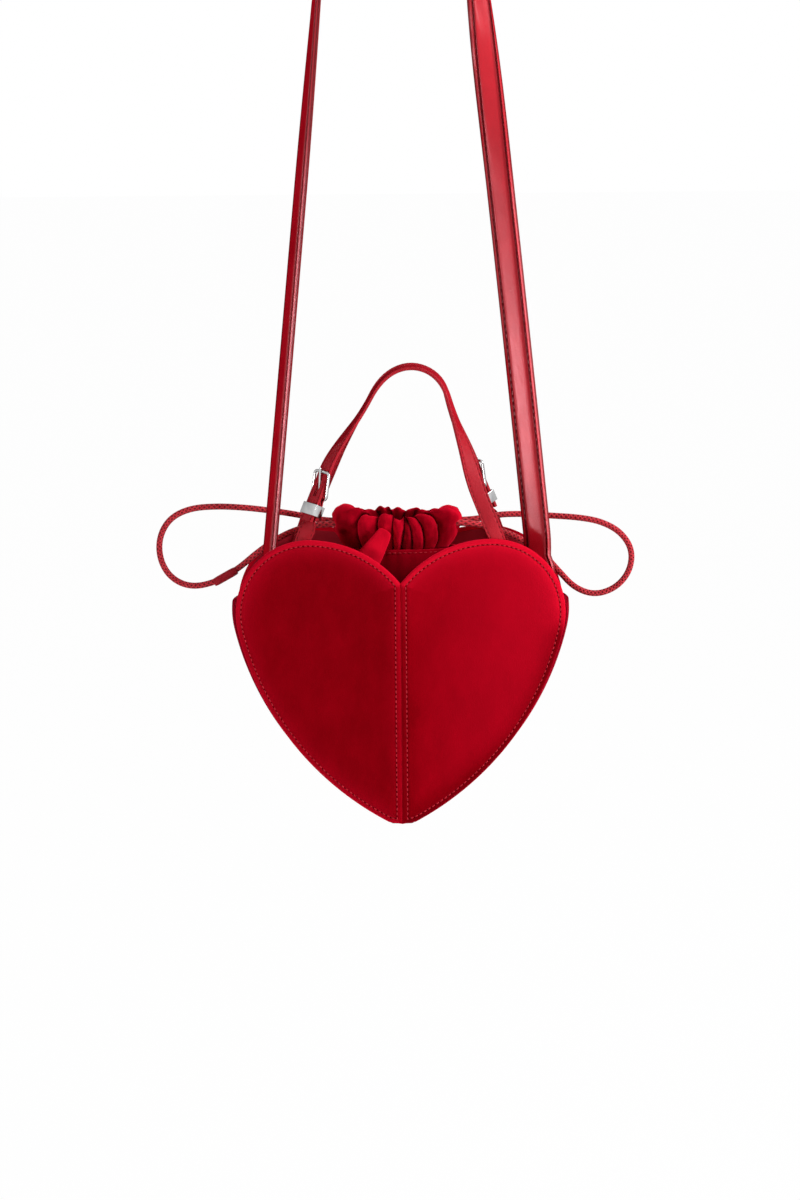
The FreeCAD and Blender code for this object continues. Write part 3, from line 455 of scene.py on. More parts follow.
def cord_line(name, points, radius):
    """Open NURBS curve through a route's control points, with a round bevel."""
    line = bpy.data.curves.new(name, "CURVE")
    line.dimensions = "3D"
    line.bevel_depth = 1.0
    line.bevel_resolution = 5
    line.resolution_u = 10
    line.use_fill_caps = True
    spline = line.splines.new("NURBS")
    spline.points.add(len(points) - 1)
    for knot, spot in zip(spline.points, points):
        knot.co = (*spot, 1)
        knot.radius = radius
    spline.order_u = 3
    spline.use_endpoint_u = True
    piece = bpy.data.objects.new(name, line)
    bpy.context.collection.objects.link(piece)
    return piece


def finish_piece(piece, finish, slot, stands_for):
    """Gives a piece its finish and hides the solids that it stands for."""
    piece.data.materials.clear()
    piece.data.materials.append(finish)
    if stands_for:
        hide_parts(*stands_for)


def dress(piece, body, finish, slot, *stands_for):
    """Finishes a piece that rides on one body."""
    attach(piece, body)
    finish_piece(piece, finish, slot, stands_for)


def loop_spots(route, side):
    return [(side * x, y, CORD_Z + rise) for x, y, rise in route]


def line_points(piece):
    """Points along a curve's own line, read without its bevel."""
    bevel, piece.data.bevel_depth = piece.data.bevel_depth, 0.0
    seen = piece.evaluated_get(bpy.context.evaluated_depsgraph_get())
    mesh = bpy.data.meshes.new_from_object(seen)
    spots = [vertex.co.copy() for vertex in mesh.vertices]
    bpy.data.meshes.remove(mesh)
    piece.data.bevel_depth = bevel
    return spots


def line_length(spots):
    return sum((b - a).length for a, b in zip(spots, spots[1:]))


left_loop = cord_line("left_loop", loop_spots(LEFT_LOOP, -1), CORD_D / 2)
right_loop = cord_line("right_loop", loop_spots(RIGHT_LOOP, 1), CORD_D / 2)
bpy.context.view_layer.update()
for loop, side in ((left_loop, "left"), (right_loop, "right")):
    dress(loop, "loop_" + side, cord_weave, "red_cord", "drawstring_%s_loop" % side)
    print(loop.name, "%.0f mm long" % (line_length(line_points(loop)) / MM))

# %% Casing runs
# The runs between the loops lie inside the casing, where the gathers hide them.
RUN_END, RUN_BEND = (0.0265, 0.006), (0.018, 0.0138)
RUN_SLOPE = 0.4
for side, label in ((-1, "front"), (1, "back")):
    route = [(end * x, side * y, CORD_Z - (y - RUN_END[1]) * RUN_SLOPE) for end, (x, y) in
             ((-1, RUN_END), (-1, RUN_BEND), (1, RUN_BEND), (1, RUN_END))]
    run = cord_line(label + "_run", route, CORD_D / 2)
    dress(run, "bag", cord_weave, "red_cord", "drawstring_%s_run" % label)

# %% [markdown]
# ## The join sleeve
# A short wrapped sleeve covers the cord's two ends. A cylinder is set on the left loop's lower strand, cut into
# rings, and every other ring is swelled, so that it reads as turns of thread pulled tight.

# %% Wrapped sleeve
SLEEVE_LENGTH = 16 * MM
SLEEVE_D = 5.8 * MM
SLEEVE_TURNS = 15
TURN_DEPTH, END_DEPTH = 0.09, 0.16


def nearest_stretch(spots, target):
    """Point and direction of a line where it passes closest to a target."""
    index = min(range(1, len(spots) - 1), key=lambda k: (spots[k] - target).length)
    return spots[index], (spots[index + 1] - spots[index - 1]).normalized()


sleeve_low, sleeve_high = (Vector(corner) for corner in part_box("join_sleeve"))
sleeve_spot, sleeve_way = nearest_stretch(line_points(left_loop), (sleeve_low + sleeve_high) / 2)
bpy.ops.object.select_all(action="DESELECT")
bpy.ops.mesh.primitive_cylinder_add(vertices=20, radius=SLEEVE_D / 2, depth=SLEEVE_LENGTH)
sleeve = bpy.context.object
sleeve.name = "join_wrap"
bpy.ops.object.mode_set(mode="EDIT")
bpy.ops.mesh.select_all(action="SELECT")
for turn in range(1, 2 * SLEEVE_TURNS):
    height = SLEEVE_LENGTH * (turn / (2 * SLEEVE_TURNS) - 0.5)
    bpy.ops.mesh.bisect(plane_co=(0, 0, height), plane_no=(0, 0, 1))
    bpy.ops.mesh.select_all(action="SELECT")
bpy.ops.object.mode_set(mode="OBJECT")
for vertex in sleeve.data.vertices:
    along = (vertex.co.z / SLEEVE_LENGTH + 0.5) * SLEEVE_TURNS
    wrap = 1 - TURN_DEPTH * math.cos(2 * math.pi * along) ** 2
    ends = 1 - END_DEPTH * abs(2 * vertex.co.z / SLEEVE_LENGTH) ** 6
    vertex.co.x *= wrap * ends
    vertex.co.y *= wrap * ends
sleeve_turn = sleeve_way.to_track_quat("Z", "Y").to_matrix().to_4x4()
sleeve.data.transform(Matrix.Translation(sleeve_spot) @ sleeve_turn)
bpy.ops.object.shade_smooth()
dress(sleeve, "loop_left", sleeve_thread, "red_cord", "join_sleeve")
for loop, side, pieces in ((left_loop, -1, [sleeve]), (right_loop, 1, [])):
    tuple(loop_spots(LEFT_LOOP, side)[0])
    line_length(line_points(loop))
print("sleeve at", [round(c, 4) for c in sleeve_spot])

# %% [markdown]
# ## The heart's half panels
# Each face of the purse is two stiff half hearts sewn together along a ridge, and velvet is stretched over
# them. One half is modelled flat: a filled circle takes the outline's points and is extruded to its thickness,
# and its front is extruded again, ring by ring, to roll the rim over and press the stitch groove in. It is then
# leaned back from the ridge, and the other three halves are mirrored copies.

# %% Outline of half a heart
# The flank's arc leaves the lobe smoothly and ends at the flat tip.
OUTLINE_STEP = 2.4 * MM
NOTCH_R = (LOBE_X ** 2 + NOTCH_DROP ** 2) / (2 * NOTCH_DROP)
from_tip = LOBE_X - TIP_HALF
drop = LOBE_H * math.sin(FLANK_START) - from_tip * math.cos(FLANK_START)
flank_reach = (from_tip ** 2 + LOBE_H ** 2 - LOBE_R ** 2) / (2 * (LOBE_R - drop))
FLANK_X = LOBE_X - flank_reach * math.cos(FLANK_START)
FLANK_H = LOBE_H + flank_reach * math.sin(FLANK_START)
FLANK_R = flank_reach + LOBE_R


def notch_top(inset):
    """Height where the notch's arc, moved in by an inset, meets the seam."""
    return HEART_H - NOTCH_R + math.sqrt((NOTCH_R - inset) ** 2 - (LOBE_X - inset) ** 2)


def arc_spots(x, h, radius, start, end):
    """Points and outward directions along an arc, as (x, h, out x, out h)."""
    count = max(2, round(abs(end - start) * radius / OUTLINE_STEP))
    turns = [start + (end - start) * k / count for k in range(count + 1)]
    return [(x + radius * math.cos(t), h + radius * math.sin(t), math.cos(t), math.sin(t)) for t in turns]


def run_spots(start, end, out):
    count = max(1, round(math.dist(start, end) / OUTLINE_STEP))
    return [(start[0] + (end[0] - start[0]) * k / count, start[1] + (end[1] - start[1]) * k / count, *out)
            for k in range(count + 1)]


def flank_spots(inset, top_turn):
    """From an angle on the lobe down the flank to the tip's corner."""
    radius = FLANK_R - inset
    foot_x = FLANK_X + math.sqrt(radius ** 2 - (FLANK_H - inset) ** 2)
    foot_turn = math.atan2(inset - FLANK_H, foot_x - FLANK_X)
    lobe = arc_spots(LOBE_X, LOBE_H, LOBE_R - inset, top_turn, -FLANK_START)
    return lobe[:-1] + arc_spots(FLANK_X, FLANK_H, radius, -FLANK_START, foot_turn)


def half_heart(inset):
    """Closed outline of the right half, moved in by an inset, from the notch round to the seam."""
    notch_h, top = HEART_H - NOTCH_R, notch_top(inset)
    start = math.atan2(top - notch_h, inset - LOBE_X)
    spots = arc_spots(LOBE_X, notch_h, NOTCH_R - inset, start, QUARTER)[:-1]
    spots += flank_spots(inset, QUARTER)[:-1]
    spots += run_spots(spots[-1][:2], (inset, inset), (0, -1))[1:-1]
    return spots + run_spots((inset, inset), (inset, top), (-1, 0))[:-1]


print(len(half_heart(0)), "points round half a heart")

# %% Half panel with a rolled rim and a stitch groove
ROLL = 1.6 * MM
RIM_RINGS_MM = ((0.15, 0.5), (0.3, 0.4), (0.6, 0.4), (0.8, 0.25), (0.85, 0.1), (0.3, -0.4), (0.2, -0.1),
                (0.2, 0.1), (0.4, 0.4), (1.4, 0.15), (3.0, 0.08), (4.0, 0.05), (5.0, 0.02))
PAINTED_RIM_HIGHLIGHT, PAINTED_EDGE_HIGHLIGHT, PAINTED_GROOVE_SHADE, PAINTED_FACE_LIGHT, SEAM_SHARE = 0.95, 0.9, -0.55, 0.62, 0.25
GROOVE_HALF, RIM_WIDE, PAINTED_LIGHT_FADE = 0.4 * MM, 2.9 * MM, 5 * MM
WELD = 1e-6


def select_only(piece):
    bpy.ops.object.select_all(action="DESELECT")
    piece.select_set(True)
    bpy.context.view_layer.objects.active = piece


def apply_modifier(piece, kind, **settings):
    select_only(piece)
    modifier = piece.modifiers.new(kind.title(), kind)
    for label, value in settings.items():
        setattr(modifier, label, value)
    bpy.ops.object.modifier_apply(modifier=modifier.name)


def recalculate_normals(piece):
    select_only(piece)
    bpy.ops.object.mode_set(mode="EDIT")
    bpy.ops.mesh.select_all(action="SELECT")
    bpy.ops.mesh.normals_make_consistent(inside=False)
    bpy.ops.object.mode_set(mode="OBJECT")


def weld(piece):
    """Joins points that lie on each other and turns all faces outwards."""
    apply_modifier(piece, "WELD", merge_threshold=WELD)
    recalculate_normals(piece)


def flat_piece(name, outline, thickness):
    """Closed plate from an outline, with its front at depth 0 and its back at the thickness."""
    bpy.ops.object.select_all(action="DESELECT")
    bpy.ops.mesh.primitive_circle_add(vertices=len(outline), fill_type="NGON")
    piece = bpy.context.object
    piece.name = name
    for vertex, (x, h, _, _) in zip(piece.data.vertices, outline):
        vertex.co = (x, 0, h)
    bpy.ops.object.mode_set(mode="EDIT")
    bpy.ops.mesh.select_all(action="SELECT")
    bpy.ops.mesh.extrude_region_move(TRANSFORM_OT_translate={"value": (0, thickness, 0)})
    bpy.ops.object.mode_set(mode="OBJECT")
    recalculate_normals(piece)
    return piece


def inset_spot(x, h, out_x, out_h, inset):
    """Place of an outline point moved in by an inset; points that would cross the seam or the tip stop there."""
    top = notch_top(inset)
    if out_h > 0.3 and x - out_x * inset < inset:
        return inset, top
    x, h = max(inset, x - out_x * inset), h - out_h * inset
    low = max(inset, FLANK_H - math.sqrt(max(0.0, (FLANK_R - inset) ** 2 - (x - FLANK_X) ** 2)))
    return x, max(low, min(h, top) if out_x < -0.99 else h)


def panel_painted_light(away, out_x):
    """Painted light on a panel's face: a painted highlight along the rolled rim, painted shade in the stitch
    groove, and a highlight that fades towards the middle and is weaker along the seam.
    """
    if abs(away - STITCH_INSET) < GROOVE_HALF:
        return PAINTED_GROOVE_SHADE
    rise = PAINTED_RIM_HIGHLIGHT if away < RIM_WIDE else PAINTED_FACE_LIGHT * math.exp((STITCH_INSET - away) / PAINTED_LIGHT_FADE)
    return rise * (SEAM_SHARE if out_x < -0.99 else 1.0)


def key(co):
    return tuple(round(c, 7) for c in co)


def select_front(piece):
    """Selects only the big front face, and gives it back."""
    mesh = piece.data
    front = next(face for face in mesh.polygons if len(face.vertices) > 8 and face.normal.y < -0.5)
    corners = set(front.vertices)
    for part in (mesh.polygons, mesh.edges, mesh.vertices):
        part.foreach_set("select", [False] * len(part))
    for edge in mesh.edges:
        edge.select = corners.issuperset(edge.vertices)
    for corner in corners:
        mesh.vertices[corner].select = True
    front.select = True
    return front


def roll_front(piece, outline, rings_mm):
    """Extrudes the front face ring by ring and moves every ring in; each ring is (in, outwards) in millimetres."""
    index = {key(vertex.co): k for k, vertex in enumerate(piece.data.vertices[:len(outline)])}
    inset = rise = 0.0
    painted_light_and_nap = {}
    for inward, outward in rings_mm:
        select_front(piece)
        inset, rise = inset + inward * MM, rise + outward * MM
        bpy.ops.object.mode_set(mode="EDIT")
        bpy.ops.mesh.extrude_region_move()
        bpy.ops.object.mode_set(mode="OBJECT")
        front = select_front(piece)
        moved = {}
        for corner in front.vertices:
            vertex = piece.data.vertices[corner]
            k = index[key(vertex.co)]
            x, h = inset_spot(*outline[k], inset)
            vertex.co = (x, -rise, h)
            moved[key(vertex.co)] = k
            painted_light_and_nap[key(vertex.co)] = panel_painted_light(inset, outline[k][2])
        index = moved
    # The edge and the back get the painted rim highlight, and the rings the painted light and shade of their
    # place.
    paint_light_and_shade(piece, lambda co: painted_light_and_nap.get(key(co), PAINTED_EDGE_HIGHLIGHT))
    weld(piece)


def lean_panel(piece, depth):
    """Puts a flat piece in the front right panel's leaning plane, at a depth under its face."""
    for vertex in piece.data.vertices:
        x, under, h = vertex.co
        vertex.co = at(x, -panel_y(x, depth + under), h)


def copied(source, name, matrix):
    """Copy with its own mesh, moved by a matrix; a mirror image gets its faces turned outwards again."""
    copy = source.copy()
    copy.data = source.data.copy()
    copy.name = name
    bpy.context.collection.objects.link(copy)
    copy.data.transform(matrix)
    if matrix.determinant() < 0:
        copy.data.flip_normals()
    return copy


TO_LEFT, TO_BACK = Matrix.Diagonal((-1, 1, 1, 1)), Matrix.Diagonal((1, -1, 1, 1))


def all_four(source, piece_name):
    """The front right piece and its three mirror images, by side."""
    source.name = "front_right_" + piece_name
    pieces = {"front_right": source}
    for side, flip in (("front_left", TO_LEFT), ("back_right", TO_BACK), ("back_left", TO_LEFT @ TO_BACK)):
        pieces[side] = copied(source, side + "_" + piece_name, flip)
    return pieces


PANEL_EDGE = half_heart(0)
panel = flat_piece("panel", PANEL_EDGE, COVER_STACK - ROLL)
roll_front(panel, PANEL_EDGE, RIM_RINGS_MM)
lean_panel(panel, ROLL)
bpy.ops.object.shade_smooth_by_angle(angle=math.radians(50))
panels = all_four(panel, "panel")
# On the front's right flank the rim's painted highlight turns, little by little, into painted shade, where that
# flank faces away from the key light; on the other three halves it only fades to half.
FLANK_FADE = 24 * MM
FADE_TOP = TIP + LOBE_H + FLANK_FADE / 3
PAINTED_FLANK_SHADE, PAINTED_FLANK_LIGHT = -0.45, 0.5
for side, piece in panels.items():
    flank = PAINTED_FLANK_SHADE if side == "front_right" else PAINTED_FLANK_LIGHT
    for vertex, slot in zip(piece.data.vertices, piece.data.attributes["painted_light_and_nap"].data):
        if slot.value > 0:
            slot.value *= 1 + (flank - 1) * eased(limited((FADE_TOP - vertex.co.z) / FLANK_FADE))
    dress(piece, "bag", red_velvet, "red_velvet", side + "_cover")
print(len(panel.data.polygons), "faces in a half panel")

# %% [markdown]
# ## Topstitching
# A row of small stitches runs round every half panel, about 3 mm in from its edge. One stitch is a stretched
# little ball whose ends dive under the pile. It is copied along the row, turned to it, and the row is joined.

# %% Stitch rows
STITCH_DIVE = 0.35


def model_stitch(length, thick):
    """One stitch along X that stands up towards Z."""
    bpy.ops.object.select_all(action="DESELECT")
    bpy.ops.mesh.primitive_uv_sphere_add(segments=8, ring_count=6, radius=0.5)
    stitch = bpy.context.object
    stitch.data.transform(Matrix.Rotation(QUARTER, 4, "Y"))
    for vertex in stitch.data.vertices:
        dive = (2 * vertex.co.x) ** 2
        vertex.co = (vertex.co.x * length, vertex.co.y * thick, (vertex.co.z - STITCH_DIVE * dive) * thick)
    bpy.ops.object.shade_smooth()
    return stitch


def along_row(spots, pitch, closed):
    """Evenly spaced points and directions along a row of (point, normal)."""
    ring = spots + spots[:1] if closed else spots
    total = sum((b[0] - a[0]).length for a, b in zip(ring, ring[1:]))
    count = max(1, round(total / pitch))
    step = total / count
    due, walked, places = step / 2, 0.0, []
    for (a, normal_a), (b, normal_b) in zip(ring, ring[1:]):
        span = (b - a).length
        while span > 0 and due <= walked + span:
            share = (due - walked) / span
            places.append((a.lerp(b, share), (b - a).normalized(), normal_a.lerp(normal_b, share).normalized()))
            due += step
        walked += span
    return places


def stitch_row(name, rows, pitch, length, thick, closed=False):
    """Joined copies of one stitch along rows of (point, normal)."""
    stitch, copies = model_stitch(length, thick), []
    for row in rows:
        for spot, way, normal in along_row(row, pitch, closed):
            across = normal.cross(way).normalized()
            turn = Matrix((way, across, way.cross(across))).transposed().to_4x4()
            copies.append(copied(stitch, name, Matrix.Translation(spot) @ turn))
    select_only(copies[0])
    for copy in copies:
        copy.select_set(True)
    bpy.ops.object.join()
    bpy.data.objects.remove(stitch)
    copies[0].name = name
    print(name, len(copies), "stitches")
    return copies[0]


GROOVE = -0.05 * MM
PANEL_STITCH = (3.0 * MM, 2.1 * MM, 0.8 * MM)
panel_out = Vector((RIDGE_TAN, -1, 0)).normalized()
panel_row = [(at(x, -panel_y(x, GROOVE), h), panel_out) for x, h, _, _ in half_heart(STITCH_INSET)]
panel_stitches = stitch_row("panel_stitches", [panel_row], *PANEL_STITCH, closed=True)
for side, piece in all_four(panel_stitches, "stitches").items():
    dress(piece, "bag", stitch_thread, "red_velvet")

# %% [markdown]
# ## Linings and gussets
# A smooth red leather lining closes the back of every half panel, and its upper part shows inside the back lobes.
# The gussets are velvet strips that close the purse's sides from the lobes down to the tip. A grid is laid along
# the outline, bowed out between the panels, and given its thickness by Solidify.

# %% Panel linings
LINING = 0.8 * MM
LINING_INSET = 2.5 * MM
lining = flat_piece("lining", half_heart(LINING_INSET), LINING)
lean_panel(lining, COVER_STACK)
for side, piece in all_four(lining, "lining_sheet").items():
    dress(piece, "bag", red_lining, "red_lining", side + "_lining")

# %% Gusset strips
GUSSET_RISE = 4.5 * MM
GUSSET_BOW = 3 * MM
GUSSET_BOW_HALF = 0.6 * RIDGE_Y
GUSSET = 1.4 * MM


def shaped_grid(name, across, along, place, painted_light_and_nap=None):
    """Grid whose points are put in place by a function of (across, along), each from 0 to 1."""
    bpy.ops.object.select_all(action="DESELECT")
    bpy.ops.mesh.primitive_grid_add(x_subdivisions=across, y_subdivisions=along, size=1)
    piece = bpy.context.object
    piece.name = name
    if painted_light_and_nap:
        paint_light_and_shade(piece, lambda co: painted_light_and_nap(co.x + 0.5, co.y + 0.5))
    for vertex in piece.data.vertices:
        vertex.co = place(vertex.co.x + 0.5, vertex.co.y + 0.5)
    return piece


def at_share(spots, share):
    """Values part of the way along a list of evenly counted points."""
    place = share * (len(spots) - 1)
    index = min(int(place), len(spots) - 2)
    rest = place - index
    return [a + (b - a) * rest for a, b in zip(spots[index], spots[index + 1])]


gusset_line = flank_spots(0, math.asin(GUSSET_RISE / LOBE_R))
gusset_line += run_spots(gusset_line[-1][:2], (0, 0), (0, -1))[1:]


def gusset_sheet(name, depth, thickness):
    def place(across, along):
        x, h, out_x, out_h = at_share(gusset_line, along)
        y = (2 * across - 1) * panel_y(x, COVER_STACK)
        bow = GUSSET_BOW * max(0.0, 1 - (y / GUSSET_BOW_HALF) ** 2) - depth
        return at(max(0.0, x + out_x * bow), y, h + out_h * bow)

    sheet = shaped_grid(name, 20, len(gusset_line), place)
    recalculate_normals(sheet)
    if sheet.data.polygons[0].normal.x < 0:
        sheet.data.flip_normals()
    apply_modifier(sheet, "SOLIDIFY", thickness=thickness, offset=-1, use_even_offset=True)
    bpy.ops.object.shade_smooth_by_angle(angle=math.radians(50))
    return sheet


for label, finish, slot, depth, thickness in (("gusset", shaded_gusset_velvet, "red_velvet", 0.0, GUSSET),
                                              ("gusset_lining", red_lining, "red_lining", GUSSET, LINING)):
    right = gusset_sheet("right_%s_strip" % label, depth, thickness)
    left = copied(right, "left_%s_strip" % label, TO_LEFT)
    dress(right, "bag", finish, slot, "right_" + label)
    dress(left, "bag", finish, slot, "left_" + label)
print(len(gusset_line), "points along a gusset")

# %% [markdown]
# ## Leather straps
# The handles and the shoulder strap are long strips that lean, twist and bend. Each is a grid wrapped round a
# profile, which is the strip's cross section, at stations along its middle line. A station holds a point, the
# strip's width direction and the direction its good side faces, so a twist is only a turn of those two.

# %% Strips along stations
def wrapped_strip(name, stations, profile, painted_light_and_nap=None):
    """Closed strip: the profile's (across, out) points at every station of (point, width, facing)."""
    ring = profile + profile[:1]

    def on_ring(share):
        return ring[round(share * (len(ring) - 1))]

    def place(round_share, along_share):
        across, out = on_ring(round_share)
        spot, width, facing = stations[round(along_share * (len(stations) - 1))]
        return spot + width * across + facing * out

    def painted_shade(round_share, _):
        return painted_light_and_nap(*on_ring(round_share))

    piece = shaped_grid(name, len(ring) - 1, len(stations) - 1, place, painted_shade if painted_light_and_nap else None)
    bpy.ops.object.mode_set(mode="EDIT")
    bpy.ops.mesh.select_all(action="SELECT")
    bpy.ops.mesh.remove_doubles(threshold=WELD)
    bpy.ops.mesh.fill_holes(sides=0)
    bpy.ops.object.mode_set(mode="OBJECT")
    recalculate_normals(piece)
    bpy.ops.object.shade_smooth_by_angle(angle=math.radians(42))
    return piece


def profile_mm(back, face):
    """Profile all the way round, from the right halves of its back and its face in millimetres."""
    right = [(across * MM, out * MM) for across, out in back + face]
    return right + [(-across, out) for across, out in reversed(right) if across > 0]


def strip_rows(stations, across, outs):
    """Stitch rows at a distance each side of the middle, on each face height given."""
    rows = []
    for side in (-1, 1):
        for out in outs:
            facing_sign = 1 if out > 0 else -1
            rows.append([(spot + width * (side * across) + facing * out, facing.normalized() * facing_sign)
                         for spot, width, facing in stations])
    return rows


def tangent_leg(foot_half, centre_rise, radius):
    """Lean and length of a leg from its foot to where it meets the crown's circle."""
    reach = math.hypot(foot_half, centre_rise)
    lean = math.atan2(foot_half, centre_rise) - math.asin(radius / reach)
    return lean, math.sqrt(reach ** 2 - radius ** 2)


def turned(out, turn):
    """Width and facing of a strip turned about its line, from facing the front to facing outwards."""
    front = Vector((0, -1, 0))
    return out * math.cos(turn) - front * math.sin(turn), out * math.sin(turn) + front * math.cos(turn)


def leg_station(foot, lean, side, along, turn, lift=0.0):
    """Station on a straight leg that leans inwards: turned about the leg and lifted off its line."""
    up = Vector((-side * math.sin(lean), 0, math.cos(lean)))
    width, facing = turned(Vector((side * math.cos(lean), 0, math.sin(lean))), turn)
    return foot + up * along + facing * lift, width, facing


def crown_stations(centre, radius, lean, count, tilt=QUARTER):
    """Top bend from the right leg over to the left, edge on to the front or tilted a little towards it."""
    stations = []
    for k in range(count + 1):
        turn = lean + (math.pi - 2 * lean) * k / count
        out = Vector((math.cos(turn), 0, math.sin(turn)))
        stations.append((centre + out * radius, *turned(out, tilt)))
    return stations


def moved_stations(stations, matrix):
    turn = matrix.to_3x3()
    return [(matrix @ spot, turn @ width, turn @ facing) for spot, width, facing in stations]


# %% [markdown]
# ## The short handles
# Each handle is one narrow strap. Its plain end is sewn to the lining behind a lobe, it rises and twists until
# it stands edge on over the crown, and its other end comes down through a buckle and a metal keeper. A folded
# billet, sewn behind the other lobe, holds the buckle. The strip is made whole, from the sewn tab to the tail.

# %% Handle places
HANDLE_W = 10 * MM
HANDLE_T = 2 * MM
HANDLE_FOOT = LOBE_X + 3 * MM
HANDLE_RISE = 97 * MM
HANDLE_CROWN = 28 * MM
HANDLE_LEAN = math.radians(12)
HINGE_RISE = 3.5 * MM
FLAT = 12 * MM
HEEL = 23 * MM
BUCKLE = 15.5 * MM
BAR_R = 0.9 * MM
EYE_R = BAR_R + 0.98 * MM
STRAP_LIFT = EYE_R + 0.2 * MM + HANDLE_T / 2
TWIST_END = 7.5 * MM
BUCKLE_TURN = math.radians(46)
CROWN_TILT = math.radians(74)
TAB_DROP = 26.5 * MM
TAB_DEPTH = COVER_STACK + LINING + 0.8 * MM
TAB_GAP = 3 * MM
TAB_STEPS = 8

leg_lean, leg_length = tangent_leg(HANDLE_FOOT, HANDLE_RISE - HANDLE_CROWN, HANDLE_CROWN)
hinge = at(0, -panel_y(HANDLE_FOOT, TAB_DEPTH), HEART_H + HINGE_RISE)
lean_back = Matrix.Translation(hinge) @ Matrix.Rotation(-HANDLE_LEAN, 4, "X")
half_turn = Matrix.Rotation(math.pi, 4, "Z")


def tab_stations(side):
    """From the tab's sewn foot up to a gap under the hinge line, on the lining's face."""
    low, high = HEART_H - TAB_DROP, HEART_H + HINGE_RISE - TAB_GAP
    stations = []
    for k in range(TAB_STEPS + 1):
        h = low + (high - low) * k / TAB_STEPS
        x = HANDLE_FOOT + (HEART_H + HINGE_RISE - h) * math.tan(leg_lean)
        width = Vector((side, RIDGE_TAN, 0)).normalized()
        facing = Vector((side * RIDGE_TAN, -1, 0)).normalized()
        stations.append((at(side * x, -panel_y(x, TAB_DEPTH), h), width, facing))
    return stations


print("handle legs %.1f mm, leaning %.1f degrees" % (leg_length / MM, math.degrees(leg_lean)))

# %% Front handle strap
PLAIN_STEPS, CROWN_STEPS, BUCKLED_STEPS, TAIL_STEPS = 48, 40, 17, 32
FREE = HEEL + BUCKLE + 2 * BAR_R
HANDLE_FACE_MM = ((5, -0.7), (5, 0.7), (4.7, 1), (4.1, 1), (3.8, 0.8), (3.5, 1), (2.5, 1.08), (0, 1.1))
HANDLE_BACK_MM = ((0, -1), (2.5, -1), (3.5, -1), (3.8, -0.8), (4.1, -1), (4.7, -1))
foot = {side: Vector((side * HANDLE_FOOT, 0, 0)) for side in (-1, 1)}
crown_centre = Vector((0, 0, HANDLE_RISE - HANDLE_CROWN))
plain = [leg_station(foot[1], leg_lean, 1, along * MM, 0.0) for along in (3, 6, 9)]
for k in range(PLAIN_STEPS + 1):
    share = k / PLAIN_STEPS
    along = FLAT + share * (leg_length - FLAT)
    plain.append(leg_station(foot[1], leg_lean, 1, along, eased(share) * CROWN_TILT))
over = crown_stations(crown_centre, HANDLE_CROWN, leg_lean, CROWN_STEPS, CROWN_TILT)[1:-1]
tail = []
for k in range(BUCKLED_STEPS):
    along = TWIST_END + (FREE - TWIST_END) * k / BUCKLED_STEPS
    tail.append(leg_station(foot[-1], leg_lean, -1, along, BUCKLE_TURN, STRAP_LIFT))
for k in range(TAIL_STEPS + 1):
    share = k / TAIL_STEPS
    turn = BUCKLE_TURN + eased(share) * (CROWN_TILT - BUCKLE_TURN)
    tail.append(leg_station(foot[-1], leg_lean, -1, FREE + share * (leg_length - FREE), turn,
                            STRAP_LIFT * (1 - eased(share))))
handle_stations = tab_stations(1) + moved_stations(plain + over + tail[::-1], lean_back)
handle_profile = profile_mm(HANDLE_BACK_MM, HANDLE_FACE_MM)
front_strap = wrapped_strip("front_handle_leather", handle_stations, handle_profile)
print(len(handle_stations), "stations,", len(handle_profile), "points round")

# %% Billet folded round the buckle's bar
BILLET_T = 0.8 * MM
FOLD_R = BAR_R + 0.08 * MM + BILLET_T / 2
NECK_SHARE = 0.7
BILLET_FACE_MM = ((5, -0.2), (5, 0.2), (4.8, 0.4), (4.1, 0.4), (3.8, 0.25), (3.5, 0.4), (0, 0.4))
BILLET_BACK_MM = ((0, -0.4), (4.8, -0.4))


def buckle_station(along, lift, turn=BUCKLE_TURN, width_share=1.0):
    spot, width, facing = leg_station(foot[-1], leg_lean, -1, along, turn, lift)
    return spot, width * width_share, facing


billet = [buckle_station(2.5 * MM, BILLET_T / 2, 0.0), buckle_station(5 * MM, BILLET_T / 2, BUCKLE_TURN / 2)]
for k in range(7):
    billet.append(buckle_station(TWIST_END + (18 * MM - TWIST_END) * k / 6, BILLET_T / 2))
billet.append(buckle_station(20 * MM, 0.8 * MM, width_share=0.85))
bar_spot, bar_width, bar_facing = buckle_station(HEEL, 0.0, width_share=NECK_SHARE)
bar_up = leg_station(foot[-1], leg_lean, -1, 1, 0)[0] - leg_station(foot[-1], leg_lean, -1, 0, 0)[0]
for k in range(11):
    turn = math.radians(-30 + 24 * k)
    out = bar_facing * math.cos(turn) + bar_up * math.sin(turn)
    billet.append((bar_spot + out * FOLD_R, bar_width, out))
for along, lift, share in ((20.9, -0.55, 0.85), (19.8, -0.4, 1.0), (14, -0.4, 1.0), (9, -0.4, 1.0)):
    spot, width, facing = buckle_station(along * MM, lift * MM, width_share=share)
    billet.append((spot, width, -facing))
billet_stations = tab_stations(-1) + moved_stations(billet, lean_back)
billet_profile = profile_mm(BILLET_BACK_MM, BILLET_FACE_MM)
front_billet = wrapped_strip("front_billet_leather", billet_stations, billet_profile)

# %% [markdown]
# The prong swings through a slot in the strap and a notch in the billet's fold. Two small blocks are set in the
# strip's own directions, and a Boolean takes them out.

# %% Slot and notch
SLOT = ((-1.4 * MM, STRAP_LIFT - HANDLE_T, 0.1 * MM), (1.4 * MM, STRAP_LIFT + HANDLE_T, 11.0 * MM))
NOTCH = ((-1.5 * MM, -2 * EYE_R, -EYE_R - 0.3 * MM), (1.5 * MM, 2 * EYE_R, 2 * EYE_R))


